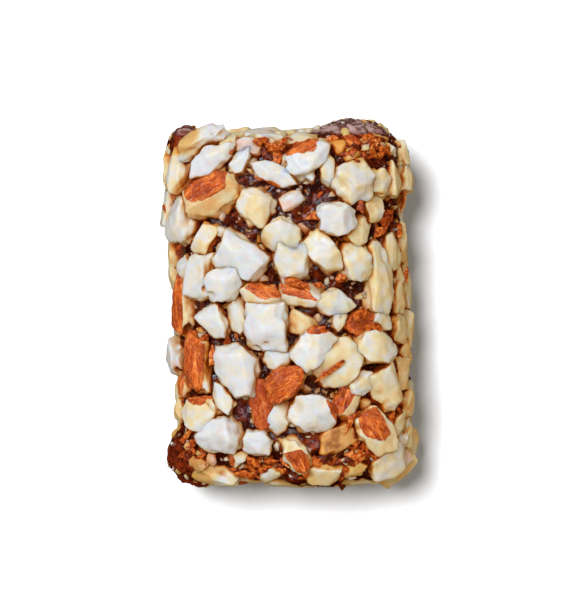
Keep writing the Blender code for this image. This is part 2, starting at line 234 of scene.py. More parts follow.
def mottling(material, place, fineness, detail=4.0, roughness=0.55, distortion=0.0):
    """Random mottling, with a fineness in lumps for each unit of the place."""
    inputs = {"Vector": place, "Scale": fineness, "Detail": detail}
    inputs |= {"Roughness": roughness, "Distortion": distortion}
    return shader_node(material, "ShaderNodeTexNoise", inputs).outputs[0]


def between(material, value, low, high, to_low=0.0, to_high=1.0):
    """A value's place between two limits, held at them."""
    inputs = {"Value": value, "From Min": low, "From Max": high, "To Min": to_low, "To Max": to_high}
    return shader_node(material, "ShaderNodeMapRange", inputs, interpolation_type="SMOOTHSTEP").outputs[0]


def mixed(material, share, first, second, how="MIX"):
    """Two colours mixed, or the first one times the second."""
    inputs = {0: share, 6: first, 7: second}
    return shader_node(material, "ShaderNodeMix", inputs, data_type="RGBA", blend_type=how).outputs[2]


def reckoned(material, how, first, second):
    """Two values added, multiplied or subtracted."""
    return shader_node(material, "ShaderNodeMath", {0: first, 1: second}, operation=how).outputs[0]


def shelter(material, reach):
    """How hemmed in a place is by what lies within a reach of it: 0 in the open, 1 in a deep gap."""
    inputs = {"Distance": reach}
    node = shader_node(material, "ShaderNodeAmbientOcclusion", inputs, samples=6)
    return reckoned(material, "SUBTRACT", 1.0, node.outputs["AO"])


def surface_of(name):
    """A new material, with its surface to be given a finish."""
    material = bpy.data.materials.new(name)
    material.use_nodes = True
    return material, material.node_tree.nodes["Principled BSDF"]


def give(material, surface, inputs):
    """Sets a surface's inputs to plain values or other nodes' outputs."""
    for name, value in inputs.items():
        if isinstance(value, bpy.types.NodeSocket):
            material.node_tree.links.new(value, surface.inputs[name])
        else:
            surface.inputs[name].default_value = value


PASTE_CUTS = (96, 160, 84)  # the grid along the log's width, length and height
LUMP_HEIGHT = 0.26 * MM
STRAND_HEIGHT = 0.22 * MM
FILM_FROM = 20.3 * MM  # the far end has a pale film of dried syrup from here on

grid, paste_faces = box_grid(PASTE_CUTS)
paste_points = log_point(grid, PASTE_HALF_SIZE)
paste_normals = log_normal(paste_points, PASTE_HALF_SIZE)
strung = paste_points * (1.0, 0.6, 1.0)
lumps = unevenness(paste_points, 2.4 * MM, 1) * 0.6 + unevenness(paste_points, 1.1 * MM, 2) * 0.4
strands = 1 - 2 * np.abs(unevenness(strung, 0.95 * MM, 3)) + 0.5 - np.abs(unevenness(strung, 0.48 * MM, 4))
stringiness = 1 + swell_at(paste_points) / (2 * MM)
swollen = swell_at(paste_points) + LUMP_HEIGHT * lumps + STRAND_HEIGHT * stringiness * (strands - 1.0)
paste_points = paste_points + paste_normals * swollen[:, None]

date_paste = piece_of("date_paste", paste_points, paste_faces)
swollen_share = date_paste.data.attributes.new("swollen", "FLOAT", "POINT").data
swollen_share.foreach_set("value", swell_at(paste_points) / (2 * MM))
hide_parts("date_roll")

pulp, pulp_surface = surface_of("wet_date_paste")
pulp_place = shader_node(pulp, "ShaderNodeTexCoord").outputs["Object"]
pulp_lumps = mottling(pulp, pulp_place, 520, 7.0, 0.62, 0.9)
pulp_strings = shader_node(pulp, "ShaderNodeMapping", {"Vector": pulp_place, "Scale": (1.0, 0.45, 1.0)})
pulp_fibres = mottling(pulp, pulp_strings.outputs[0], 2100, 5.0, 0.62, 2.2)
pulp_colour = ramp(
    pulp,
    pulp_lumps,
    (0.36, colour(30, 5, 3)),
    (0.49, colour(68, 15, 5)),
    (0.59, colour(128, 42, 10)),
    (0.72, colour(190, 88, 30)),
)
pulp_swollen = shader_node(pulp, "ShaderNodeAttribute", attribute_name="swollen").outputs["Fac"]
pulp_redder = reckoned(pulp, "MULTIPLY", pulp_swollen, between(pulp, pulp_fibres, 0.46, 0.58, 0.0, 0.55))
pulp_colour = mixed(pulp, pulp_redder, pulp_colour, colour(152, 62, 32))
pulp_axes = shader_node(pulp, "ShaderNodeSeparateXYZ", {"Vector": pulp_place}).outputs
pulp_film = between(pulp, pulp_axes["Y"], FILM_FROM, FILM_FROM + 0.8 * MM)
pulp_film = reckoned(pulp, "MULTIPLY", pulp_film, between(pulp, pulp_axes["Z"], 8 * MM, 19 * MM, 0.25, 1.0))
pulp_film = reckoned(pulp, "MULTIPLY", pulp_film, between(pulp, pulp_lumps, 0.46, 0.58, 0.1, 0.7))
pulp_colour = mixed(pulp, pulp_film, pulp_colour, colour(216, 196, 196))
# Painted shade: the paste turns near-black where nearby shapes hem it in.
pulp_painted_gap_shade = between(pulp, shelter(pulp, 3 * MM), 0.2, 0.7, 0.0, 0.9)
pulp_colour = mixed(pulp, pulp_painted_gap_shade, pulp_colour, colour(40, 8, 2))
pulp_relief = {"Height": pulp_lumps, "Strength": 0.6, "Distance": 0.3 * MM}
pulp_broad = shader_node(pulp, "ShaderNodeBump", pulp_relief)
pulp_beads = mottling(pulp, pulp_strings.outputs[0], 2300, 2.5, 0.6, 1.2)
pulp_bump = shader_node(
    pulp,
    "ShaderNodeBump",
    {"Height": pulp_beads, "Strength": 1.0, "Distance": 0.13 * MM, "Normal": pulp_broad.outputs["Normal"]},
)
give(
    pulp,
    pulp_surface,
    {
        "Base Color": pulp_colour,
        "Roughness": between(pulp, pulp_fibres, 0.35, 0.65, 0.03, 0.10),
        "Specular IOR Level": 0.7,
        "Normal": pulp_bump.outputs["Normal"],
    },
)
date_paste.data.materials.append(pulp)

# The bare almond pieces. Blanched and whole almonds are chopped roughly, so each piece is a block with flat
# or faintly shelled sides and softened edges. The flesh is ivory, waxy and a little translucent, yellower
# near the kernel's heart, and the syrup of the dates stains it golden where it sinks into the paste. Its
# colour
# also holds painted shade: golden to brown on each piece's low parts and in the gaps between the pieces.

OUTLINES = {
    "slab": ((-1.0, -0.8), (-0.7, -1.0), (0.9, -0.9), (1.0, 0.8), (-0.9, 1.0)),
    "kite": ((-1.0, -0.4), (-0.4, -1.0), (0.6, -0.7), (1.0, 0.1), (0.1, 1.0), (-0.7, 0.6)),
    "lens": ((-1.0, 0.0), (-0.45, -0.9), (0.4, -0.9), (1.0, 0.0), (0.35, 0.95), (-0.5, 0.8)),
    "wedge": ((-1.0, -1.0), (0.6, -0.6), (1.0, 0.0), (0.6, 0.5), (-0.9, 1.0)),
    "block": ((-1.0, -0.5), (-0.3, -1.0), (0.8, -0.8), (1.0, 0.4), (0.2, 1.0), (-0.8, 0.8)),
    "finger": ((-1.0, -0.5), (-0.6, -1.0), (0.7, -0.9), (1.0, -0.2), (0.8, 0.8), (-0.7, 1.0)),
}
LIKELY_OUTLINES = ("block", "kite", "slab", "wedge", "block", "finger", "kite", "lens")
THICKNESS_SHARE = 0.78  # of a piece's width
THICKEST = 3.6 * MM
SUNK_SHARE = 0.52  # of a thin piece's thickness, which is in the paste
CRISP_EDGE = math.radians(36)  # edges sharper than this catch the light as edges
EDGE_SHARPNESS = (20.0, 46.0)  # from the softest edges between a piece's sides to the crispest
CORNER_REACH = (0.88, 1.06)  # how far out the corners of an outline come
CHIPS = 4  # small flat chips off a piece's edges and corners
CHIPPED_TO = (0.95, 0.99)  # what a chip leaves, as a share of the way out
BITES = (2, 5)  # how many notches the blade leaves round a piece's edge
BITE_WIDTHS = (0.2, 0.42)  # in radians about the piece's middle
BITE_DEPTHS = (0.08, 0.24)  # as a share of the way out
FULLNESS = 1.05  # for what the chips and the notches take off
RIDGES, LUMPS, GRIT = 0.08, 0.25, 0.13  # the unevenness of the chopped sides, in mm
SKIN_UP = 60  # from this elevation on, a piece lies with its skin up, and shows little else
SKIN_EDGE = 0.72  # how squarely a place has to face the skin's way to have kept it
SKIN_EDGE_UP = 0.12
SKIN_FAN = (-28, 0, 28)  # how the three flat sides that stand for a round one are tilted
SKIN_DEPTH = 0.86
DRAWN_UP = 0.35  # how much finer the mesh is on a piece's outer face than underneath

# The middle of a piece's outer face, its size and its turn, in mm and degrees. lift is how much higher than
# usual it sits, and skin is the bearing and elevation that its skin faces. tone runs from pink below 0,
# over ivory at 0 and yellow at 0.3, to tan at 0.8 and brown syrup at 1.2. The tan tones of about 0.4 to 0.6
# on the pieces along the right side are painted shade, as that side of the roll lies in shade.
Nut = namedtuple("Nut", "x y length width turn outline lift skin tone")
PINKEST, BROWNEST = -1.0, 1.4  # the tones that the flesh's colours run between
NUTS_ON_TOP = (
    # the far end, from the left corner to the right
    Nut(-10.8, 20.4, 5.8, 3.0, 22, "finger", -0.4, None, 0.0),
    Nut(-7.5, 20.9, 2.5, 2.0, 95, "slab", 0.0, None, 0.3),
    Nut(-13.9, 16.4, 5.8, 3.9, 72, "block", 0.6, None, 0.25),
    Nut(-9.8, 17.6, 6.7, 3.5, 30, "kite", 0.4, None, 0.0),
    Nut(-6.1, 17.6, 4.5, 2.2, 60, "lens", 0.2, None, 0.0),
    Nut(-5.2, 19.9, 3.5, 2.5, -15, "block", -0.2, None, -0.35),
    Nut(-1.8, 15.9, 7.0, 3.0, -24, "lens", 0.5, (-110, -16), 0.0),
    Nut(2.0, 18.2, 7.2, 4.3, 28, "kite", 0.4, (118, 34), 0.05),
    Nut(2.2, 16.6, 3.2, 2.4, -75, "wedge", 0.5, None, 0.0),
    Nut(4.5, 16.4, 4.5, 2.2, 98, "lens", 0.3, None, 0.2),
    Nut(2.1, 21.3, 4.8, 2.4, -5, "slab", -0.4, None, 0.15),
    Nut(10.2, 21.0, 3.8, 2.0, -18, "lens", -1.5, None, -0.4),
    Nut(7.6, 19.9, 2.2, 2.2, -40, "block", -1.1, (90, 80), 0.55),
    Nut(13.6, 18.2, 3.4, 2.8, 60, "block", 0.8, None, 0.35),
    # behind the middle
    Nut(-9.8, 13.5, 7.2, 5.2, 24, "block", 0.6, (100, 44), 0.6),
    Nut(-13.8, 10.3, 6.4, 4.6, 78, "block", 0.3, None, 0.05),
    Nut(-3.9, 11.8, 5.7, 4.6, -68, "kite", 0.4, None, 0.3),
    Nut(0.2, 12.7, 3.3, 2.5, 35, "block", 0.0, None, -0.25),
    Nut(7.8, 14.9, 5.4, 5.0, -60, "block", 0.5, None, 0.25),
    Nut(11.1, 14.8, 3.9, 3.0, 82, "finger", 0.5, None, 0.35),
    Nut(12.9, 15.2, 4.8, 3.6, 85, "slab", 0.3, None, 0.5),
    Nut(14.3, 15.4, 3.8, 3.0, 92, "finger", 1.2, None, 0.5),
    Nut(5.7, 10.6, 5.0, 4.3, 10, "block", 1.0, None, 0.0),
    Nut(10.6, 11.5, 4.0, 3.6, -72, "wedge", 0.1, None, 0.4),
    Nut(8.6, 9.1, 4.0, 3.0, 60, "block", 0.1, None, 0.4),
    Nut(-10.9, 8.0, 5.2, 2.8, 55, "finger", 0.1, None, 0.3),
    # across the middle
    Nut(-6.0, 5.9, 6.4, 5.0, -25, "slab", 0.6, None, 0.0),
    Nut(-0.8, 8.4, 5.6, 4.8, -50, "kite", 0.7, None, 0.25),
    Nut(0.3, 5.6, 5.2, 4.9, -70, "block", 0.8, None, 0.15),
    Nut(4.1, 6.4, 6.0, 4.6, -42, "wedge", 0.3, (205, -14), 0.3),
    Nut(8.4, 5.3, 4.8, 4.2, -75, "block", 0.4, None, 0.25),
    Nut(11.1, 3.4, 9.2, 3.7, 97, "finger", 0.5, None, 0.35),
    Nut(13.0, 6.6, 5.4, 3.2, 95, "finger", 0.0, None, 0.5),
    Nut(14.4, 7.9, 4.8, 3.0, 90, "slab", 0.3, None, 0.55),
    Nut(14.1, 4.2, 2.9, 2.8, 80, "block", 0.0, (60, 40), 0.5),
    Nut(14.0, 1.2, 4.4, 3.4, 95, "block", 0.0, None, 0.6),
    Nut(-7.8, 3.0, 5.5, 4.4, 30, "block", 1.0, None, 0.0),
    Nut(-11.1, 3.6, 5.8, 4.2, 85, "slab", 0.4, None, 0.05),
    Nut(-13.5, 4.7, 3.6, 2.8, 82, "lens", 0.0, None, 0.1),
    Nut(-13.9, 0.2, 7.6, 4.6, 94, "finger", 0.2, (180, 62), 0.25),
    Nut(-6.4, -0.7, 4.9, 2.5, -76, "finger", 0.1, None, 0.1),
    Nut(-9.2, -1.9, 5.0, 4.1, -48, "wedge", 0.2, (35, -16), 0.05),
    Nut(-3.3, 1.4, 6.4, 2.9, -14, "lens", 0.5, (60, 44), 0.25),
    Nut(1.3, 1.6, 5.0, 3.2, -12, "slab", 0.4, (110, 50), 0.25),
    Nut(5.4, 0.6, 4.6, 3.3, -12, "kite", 0.6, None, 0.2),
    Nut(6.2, -1.2, 3.8, 2.5, -98, "wedge", 0.5, None, 0.25),
    # before the middle
    Nut(-2.7, -2.3, 6.2, 5.3, -86, "slab", 1.0, None, 0.0),
    Nut(-1.5, -6.0, 3.8, 3.3, -20, "block", 0.5, None, 0.05),
    Nut(1.7, -1.9, 4.5, 3.7, -20, "wedge", 0.0, None, 0.45),
    Nut(2.7, -4.6, 5.8, 4.2, 52, "slab", 0.9, (75, -8), 0.1),
    Nut(5.7, -6.4, 7.2, 6.0, 40, "block", 0.4, None, 0.35),
    Nut(9.0, -1.9, 4.7, 3.1, 4, "block", 0.2, (95, 84), 0.5),
    Nut(11.4, -1.7, 3.5, 2.7, 5, "finger", 0.4, None, 0.25),
    Nut(10.7, -4.7, 5.7, 4.5, -10, "block", 0.6, None, 0.25),
    Nut(14.1, -2.4, 3.8, 3.0, 80, "block", 0.0, None, 0.55),
    Nut(14.8, -5.6, 3.6, 3.2, 95, "kite", 0.0, None, 0.6),
    Nut(14.5, -8.2, 4.2, 3.2, 85, "slab", 0.0, None, 0.6),
    Nut(12.0, -10.1, 6.4, 5.0, -46, "wedge", 0.4, (-25, -12), 0.4),
    Nut(8.7, -8.9, 4.0, 3.2, 22, "block", 0.6, None, 0.25),
    Nut(6.9, -11.4, 4.6, 2.8, 68, "finger", 0.3, (150, 42), 0.4),
    Nut(-6.3, -7.4, 8.0, 5.4, -58, "kite", 0.6, None, 0.0),
    Nut(-11.8, -6.6, 7.6, 4.0, -80, "finger", 0.6, (165, 72), 0.35),
    Nut(-14.5, -5.8, 5.2, 3.6, 92, "lens", 0.6, None, -0.15),
    Nut(-13.7, -9.4, 3.0, 2.6, 110, "block", 0.4, (180, 62), 0.35),
    Nut(-3.4, -11.4, 6.6, 3.0, -82, "finger", 0.3, (0, 90), 0.85),
    Nut(-0.5, -8.9, 5.4, 4.6, 34, "kite", 1.3, (60, 90), 0.4),
    Nut(-1.2, -13.0, 4.4, 2.7, 70, "finger", 0.2, None, 0.1),
    # the near end
    Nut(-8.4, -10.8, 5.0, 2.7, -68, "lens", 0.3, None, 0.1),
    Nut(-11.1, -12.6, 5.4, 4.4, -14, "block", 0.5, (100, 4), 0.3),
    Nut(-14.4, -12.2, 3.0, 2.4, 95, "finger", 0.4, (180, 20), 0.5),
    Nut(-8.5, -15.3, 6.4, 5.0, -12, "kite", 0.6, None, 0.0),
    Nut(-4.0, -16.2, 3.9, 3.2, -15, "block", 0.6, None, 0.0),
    Nut(-11.2, -18.9, 3.3, 2.1, 15, "kite", -1.7, None, -0.6),
    Nut(2.7, -12.6, 6.5, 4.6, -8, "block", 0.6, (8, -14), 0.05),
    Nut(0.8, -17.8, 4.8, 3.0, -55, "block", 0.3, (-40, 58), 0.25),
    Nut(5.7, -15.6, 5.2, 3.0, 24, "finger", -0.2, None, 1.0),
    Nut(10.4, -14.8, 6.2, 4.1, -52, "block", 0.5, (128, 48), 0.4),
    Nut(14.0, -13.8, 3.6, 2.8, 60, "lens", 0.0, (-60, 10), 0.4),
    Nut(15.0, -11.6, 3.8, 3.0, 92, "block", 0.3, None, 0.6),
    Nut(15.2, -15.4, 3.6, 3.0, 88, "block", 0.0, None, 0.45),
    Nut(12.5, -18.6, 5.4, 4.2, 22, "block", -0.1, None, 0.25),
    Nut(-9.0, -21.0, 5.8, 3.0, -4, "slab", -0.3, None, 0.15),
    Nut(-2.4, -20.7, 3.6, 2.8, 40, "kite", -0.2, None, 0.3),
    Nut(4.1, -20.4, 4.2, 2.8, -4, "slab", -0.3, None, 0.35),
    Nut(8.0, -19.9, 3.8, 2.6, 10, "lens", -0.4, None, 0.6),
    Nut(-6.6, -18.2, 2.8, 2.1, 30, "wedge", 0.0, (-150, 20), 0.3),
)


def chopped_sides(nut, draw):
    """A piece's flat sides as (facing, distance), in half-lengths, half-widths and half-thicknesses."""
    corners = [[reach * draw.uniform(*CORNER_REACH) for reach in corner] for corner in OUTLINES[nut.outline]]
    sides = []
    for (u0, v0), (u1, v1) in zip(corners, corners[1:] + corners[:1], strict=True):
        size = math.hypot(v1 - v0, u0 - u1)
        facing = ((v1 - v0) / size, (u0 - u1) / size)
        distance = facing[0] * u0 + facing[1] * v0
        sides.append(((*facing, draw.uniform(-0.02, 0.2)), distance))
    sides.append(((draw.uniform(-0.22, 0.22), draw.uniform(-0.22, 0.22), 1.0), 1.0))
    sides.append(((0.0, 0.0, -1.0), 1.0))
    bearing = draw.uniform(0, math.tau)
    for _shoulder in range(2):
        bearing += draw.uniform(1.6, 3.4)
        facing = np.array((math.cos(bearing), math.sin(bearing), draw.uniform(0.9, 1.5)))
        sides.append((tuple(facing / np.linalg.norm(facing)), draw.uniform(0.86, 1.0)))
    return sides


def skin_sides(nut, draw):
    """The kernel's own round side, as three flat ones in a fan about where the skin faces."""
    bearing, elevation = nut.skin
    turned = math.radians(bearing - nut.turn)
    sides = []
    for fan in SKIN_FAN:
        tilt = math.radians(elevation + fan)
        facing = (math.cos(turned) * math.cos(tilt), math.sin(turned) * math.cos(tilt), math.sin(tilt))
        sides.append((facing, SKIN_DEPTH + draw.uniform(-0.03, 0.03)))
    return sides


def nut_half_size(nut):
    """Half a piece's length, width and thickness."""
    thickness = min(THICKNESS_SHARE * nut.width * MM, THICKEST)
    return np.array((nut.length * MM / 2, nut.width * MM / 2, thickness / 2))


def nut_axes(nut, normal):
    """The piece's own directions as rows: along its length, across it, and out of the log."""
    turn = math.radians(nut.turn)
    along = np.array((math.cos(turn), math.sin(turn), 0.0))
    along = along - normal * along.dot(normal)
    along /= np.linalg.norm(along)
    return np.array((along, np.cross(normal, along), normal))


def sphere_grid(cuts, drawn_up):
    """Directions over a sphere, closer together at its top, with the faces between them."""
    points, faces = box_grid((cuts, cuts, cuts))
    points = np.tan(points * math.pi / 4)
    points /= np.linalg.norm(points, axis=1, keepdims=True)
    points[:, 2] += drawn_up
    return points / np.linalg.norm(points, axis=1, keepdims=True), faces


def random_direction(draw):
    """A way out of a piece, more often out of its sides and its face than underneath."""
    toward = np.array((draw.gauss(0, 1), draw.gauss(0, 1), draw.gauss(0.35, 0.7)))
    return toward / np.linalg.norm(toward)


def chopped_almond(nut, draw, outer, normal, sphere):
    """A piece's points, and for each of them its grain and how far it is skin."""
    directions, _faces = sphere
    sides = chopped_sides(nut, draw)
    bare_count = len(sides)
    if nut.skin:
        sides += skin_sides(nut, draw)
    half = nut_half_size(nut)
    place = unevenness_place(nut)
    sharpness = draw.uniform(*EDGE_SHARPNESS)
    facings = np.array([facing for facing, _distance in sides])
    distances = np.array([distance for _facing, distance in sides])
    steepness = np.maximum(directions @ facings.T, 0) / distances
    shelled = 1 + 0.06 * unevenness(directions * 1.3 + place, 0.9, 5)[:, None]
    pull = (steepness * shelled) ** sharpness
    reach = pull.sum(axis=1) ** (-1 / sharpness)
    for _chip in range(CHIPS):
        toward = random_direction(draw)
        depth = draw.uniform(*CHIPPED_TO) * reach[np.argmax(directions @ toward)]
        reach = np.minimum(reach, depth / np.maximum(directions @ toward, 1e-6))
    for _bite in range(draw.randint(*BITES)):
        toward = random_direction(draw) * (1, 1, 0.45)
        angle = np.arccos(np.clip(directions @ (toward / np.linalg.norm(toward)), -1, 1))
        off = angle / draw.uniform(*BITE_WIDTHS)
        off += 0.3 * unevenness(directions * 2 + place, 0.7, 9)
        reach = reach * (1 - draw.uniform(*BITE_DEPTHS) * np.clip(1 - off**2, 0, 1))
    own = directions * reach[:, None] * half * FULLNESS
    grain = own / MM + place
    ridged = 1 - 2 * np.abs(unevenness(grain, 1.3, 6))
    sideways = np.clip(1.3 - 1.2 * directions[:, 2], 0.25, 1.2)
    lumpy = LUMPS * unevenness(grain, 0.75, 7) + GRIT * unevenness(grain, 0.4, 8)
    rough = RIDGES * ridged + lumpy * sideways
    own = own + directions * rough[:, None] * MM * min(1.0, half[1] / (1.6 * MM))
    rise = min(NUT_RISE, 2 * half[2] * (1 - SUNK_SHARE)) + nut.lift * MM
    middle = outer + normal * (rise - half[2] - NUT_RISE + swell_at(outer))
    points = own @ nut_axes(nut, normal) + middle
    points[:, 2] = np.maximum(points[:, 2], OFF_THE_TABLE)
    skin = np.zeros(len(points))
    if nut.skin:
        skinned, bare = pull[:, bare_count:].sum(axis=1), pull[:, :bare_count].sum(axis=1)
        skin = np.clip(0.5 + 2.5 * np.log((skinned + 1e-9) / (bare + 1e-9)) / sharpness, 0, 1)
        edge = SKIN_EDGE if nut.skin[1] < SKIN_UP else SKIN_EDGE_UP
        skin = np.maximum(skin, np.clip(0.5 + 3 * (directions @ facings[bare_count + 1] - edge), 0, 1))
    return points, grain, skin


def unevenness_place(nut):
    """A place of the piece's own in the random unevenness, so that no two pieces are alike."""
    return np.array((nut.x * 3.1 + 40, nut.y * 2.7 - 60, nut.turn * 0.13 + nut.length))


def height_over_paste(points):
    """How far points are out of the paste's plain surface."""
    reach = log_reach(*in_half_sizes(points, PASTE_HALF_SIZE))
    return (reach - 1) * PASTE_HALF_SIZE[0] - swell_at(points)


def keep(piece, name, values):
    """Numbers or vectors kept on a piece's points, for its material to read."""
    kind, field = ("FLOAT_VECTOR", "vector") if values.ndim == 2 else ("FLOAT", "value")
    piece.data.attributes.new(name, kind, "POINT").data.foreach_set(field, values.ravel())


def joined_piece(name, shapes, smooth_angle):
    """One piece of the scene out of many shapes, each with its points, faces, grain and tone."""
    first, faces = 0, []
    for shape in shapes:
        faces += (shape[1] + first).tolist()
        first += len(shape[0])
    piece = piece_of(name, np.concatenate([shape[0] for shape in shapes]), faces, smooth_angle)
    keep(piece, "grain", np.concatenate([shape[2] for shape in shapes]))
    keep(piece, "tone", np.concatenate([np.full(len(shape[0]), shape[3]) for shape in shapes]))
    return piece


def stored_tone(tone):
    """A tone as a material reads it, from 0 for the pinkest to 1 for the brownest."""
    return (tone - PINKEST) / (BROWNEST - PINKEST)


def joined_almonds(name, shapes, skins, material, less_stain_and_shade=0.0):
    """A joined piece with its skin and its height over the paste. A higher last argument stands for less
    stain and less painted shade.
    """
    piece = joined_piece(name, shapes, CRISP_EDGE)
    keep(piece, "skin", np.concatenate(skins))
    keep(piece, "height", height_over_paste(np.concatenate([shape[0] for shape in shapes])) / MM + less_stain_and_shade)
    piece.data.materials.append(material)


def almond_piece(name, nuts, cuts, material, less_stain_and_shade=0.0):
    """One piece of the scene with every given piece of almond in it."""
    sphere = sphere_grid(cuts, DRAWN_UP)
    shapes, skins = [], []
    for nut, seed, outer, normal in nuts:
        points, grain, skin = chopped_almond(nut, random.Random(seed), outer, normal, sphere)
        shapes.append((points, sphere[1], grain, stored_tone(nut.tone)))
        skins.append(skin)
    joined_almonds(name, shapes, skins, material, less_stain_and_shade)


def stored(material, attribute, output="Fac"):
    """What is kept on a piece's points under a name."""
    return shader_node(material, "ShaderNodeAttribute", attribute_name=attribute).outputs[output]


def almond_flesh(name):
    """The waxy flesh: its material and surface, its grain, the grit for its bump, and its colour, which holds
    a stain and painted shade.
    """
    material, surface = surface_of(name)
    grain = stored(material, "grain", "Vector")
    patches = mottling(material, grain, 0.55, 3.0)
    fine = mottling(material, grain, 3.2, 5.0, 0.6)
    patchy = between(material, patches, 0.32, 0.68, -0.07, 0.10)
    tone = reckoned(material, "ADD", stored(material, "tone"), patchy)
    flesh = ramp(
        material,
        tone,
        (0.05, colour(200, 166, 168)),
        (0.27, colour(222, 198, 190)),
        (0.40, colour(210, 219, 225)),
        (0.50, colour(220, 219, 212)),
        (0.60, colour(226, 213, 172)),
        (0.80, colour(226, 175, 107)),
        (0.92, colour(160, 98, 52)),
    )
    # The golden-to-brown tint is partly syrup staining where a piece sinks into the paste and partly painted
    # shade, darker on each piece's low parts and in the gaps that hem it in.
    patchy_height = reckoned(material, "ADD", stored(material, "height"), patches)
    sunk_stain_and_shade = between(material, patchy_height, 0.3, 1.6, 0.38, 0.0)
    painted_crevice_shade = between(material, shelter(material, 2.6 * MM), 0.10, 0.85, 0.0, 0.95)
    syrup_stain_and_painted_shade = ramp(
        material,
        reckoned(material, "ADD", sunk_stain_and_shade, painted_crevice_shade),
        (0.08, colour(255, 255, 255)),
        (0.24, colour(254, 234, 186)),
        (0.45, colour(251, 185, 80)),
        (0.70, colour(230, 119, 25)),
        (1.0, colour(140, 44, 3)),
    )
    flesh = mixed(material, 1.0, flesh, syrup_stain_and_painted_shade, "MULTIPLY")
    specks = between(material, mottling(material, grain, 1.9, 2.0), 0.69, 0.76, 0.0, 0.4)
    return material, surface, grain, fine, mixed(material, specks, flesh, colour(158, 92, 48))


def finish_almond(material, surface, base, height, roughness, subsurface):
    """Gives an almond's surface its colour, its relief and its waxy shine, which skin hasn't got."""
    bump = shader_node(material, "ShaderNodeBump", {"Height": height, "Strength": 0.4, "Distance": 0.16 * MM})
    inputs = {
        "Base Color": base,
        "Roughness": roughness,
        "Subsurface Weight": subsurface,
        "Subsurface Radius": (1.0, 0.68, 0.32),
        "Subsurface Scale": 1.9 * MM,
        "Specular IOR Level": 0.36,
        "Coat Weight": 0.2,
        "Coat Roughness": 0.22,
        "Normal": bump.outputs["Normal"],
    }
    give(material, surface, inputs)
    return material


waxy_flesh, waxy_surface, _grain, flesh_grit, flesh_colour = almond_flesh("bare_almond_flesh")
flesh_roughness = between(waxy_flesh, flesh_grit, 0.35, 0.65, 0.36, 0.52)
finish_almond(waxy_flesh, waxy_surface, flesh_colour, flesh_grit, flesh_roughness, 0.62)


INSIDE_THE_EDGE = 0.985  # of the way out to it
FIRST_NUT_SEED = 1000


def log_top(x, y, half):
    """The point of the log's surface above a place on the table, kept just inside its edge."""
    along = min(abs(y) / half[1], INSIDE_THE_EDGE)
    section = (1 - along**END_POWER) ** (1 / END_POWER)
    middle, half_width = across_at(y, half)
    across = min(abs(x - middle) / half_width, INSIDE_THE_EDGE * section)
    upright = (section**SIDE_POWER - across**SIDE_POWER) ** (1 / SIDE_POWER)
    side = middle + math.copysign(across * half_width, x - middle)
    return np.array((side, math.copysign(along * half[1], y), upright * half[2] + MIDDLE_HEIGHT))


placed_nuts = []
for number, nut in enumerate(NUTS_ON_TOP):
    outer = log_top(nut.x * MM, nut.y * MM, HALF_SIZE)
    placed_nuts.append((nut, FIRST_NUT_SEED + number, outer, log_normal(outer, HALF_SIZE)))

bare_on_top = [entry for entry in placed_nuts if not entry[0].skin]
almond_piece("bare_almond_pieces", bare_on_top, 15, waxy_flesh)

# The almond pieces that kept some skin. The kernel's skin is papery, orange-brown and furrowed along its
# length, with a pale dusty bloom. It stays on a piece's one round side, and its edge is broken by the chop.

skinned_almond, skinned_surface, skin_grain, skin_grit, under_skin = almond_flesh("almond_with_skin")
drawn_out = {"Vector": skin_grain, "Scale": (0.5, 1.5, 1.2)}
lengthwise = shader_node(skinned_almond, "ShaderNodeMapping", drawn_out)
furrows = mottling(skinned_almond, lengthwise.outputs[0], 1.1, 7.0, 0.72, 0.8)
skin_colour = ramp(
    skinned_almond,
    furrows,
    (0.30, colour(96, 26, 2)),
    (0.43, colour(172, 62, 6)),
    (0.54, colour(222, 106, 24)),
    (0.66, colour(246, 172, 92)),
)
blotches = between(skinned_almond, mottling(skinned_almond, skin_grain, 0.55, 4.0, 0.6), 0.40, 0.64, 0.0, 0.6)
skin_colour = mixed(skinned_almond, blotches, skin_colour, colour(150, 52, 6))
redder = between(skinned_almond, stored(skinned_almond, "tone"), 0.62, 0.8, 0.0, 0.3)
skin_colour = mixed(skinned_almond, redder, skin_colour, colour(150, 44, 8))
bloom = between(skinned_almond, mottling(skinned_almond, skin_grain, 7.0, 3.0), 0.60, 0.70, 0.0, 0.65)
skin_colour = mixed(skinned_almond, bloom, skin_colour, colour(240, 214, 186))
ragged = reckoned(skinned_almond, "MULTIPLY", mottling(skinned_almond, skin_grain, 1.3, 6.0, 0.65), 0.5)
ragged = reckoned(skinned_almond, "ADD", stored(skinned_almond, "skin"), ragged)
covered = between(skinned_almond, ragged, 0.70, 0.75)
skinned_colour = mixed(skinned_almond, covered, under_skin, skin_colour)
skin_relief = reckoned(skinned_almond, "MULTIPLY", covered, reckoned(skinned_almond, "ADD", furrows, 0.6))
skin_relief = reckoned(skinned_almond, "ADD", skin_relief, skin_grit)
skin_roughness = between(skinned_almond, covered, 0.0, 1.0, 0.44, 0.6)
skin_glow = between(skinned_almond, covered, 0.0, 1.0, 0.62, 0.05)
finish_almond(skinned_almond, skinned_surface, skinned_colour, skin_relief, skin_roughness, skin_glow)

skinned_on_top = [entry for entry in placed_nuts if entry[0].skin]
almond_piece("skin_on_almond_pieces", skinned_on_top, 18, skinned_almond)

# Round the sides, the ends and underneath, the log is rolled in the same chopped almonds, which cling
# wherever they touch. Rolling presses them in, and the ends, which are pinched shut, pick up fewer.

SCATTER_SEED = 45
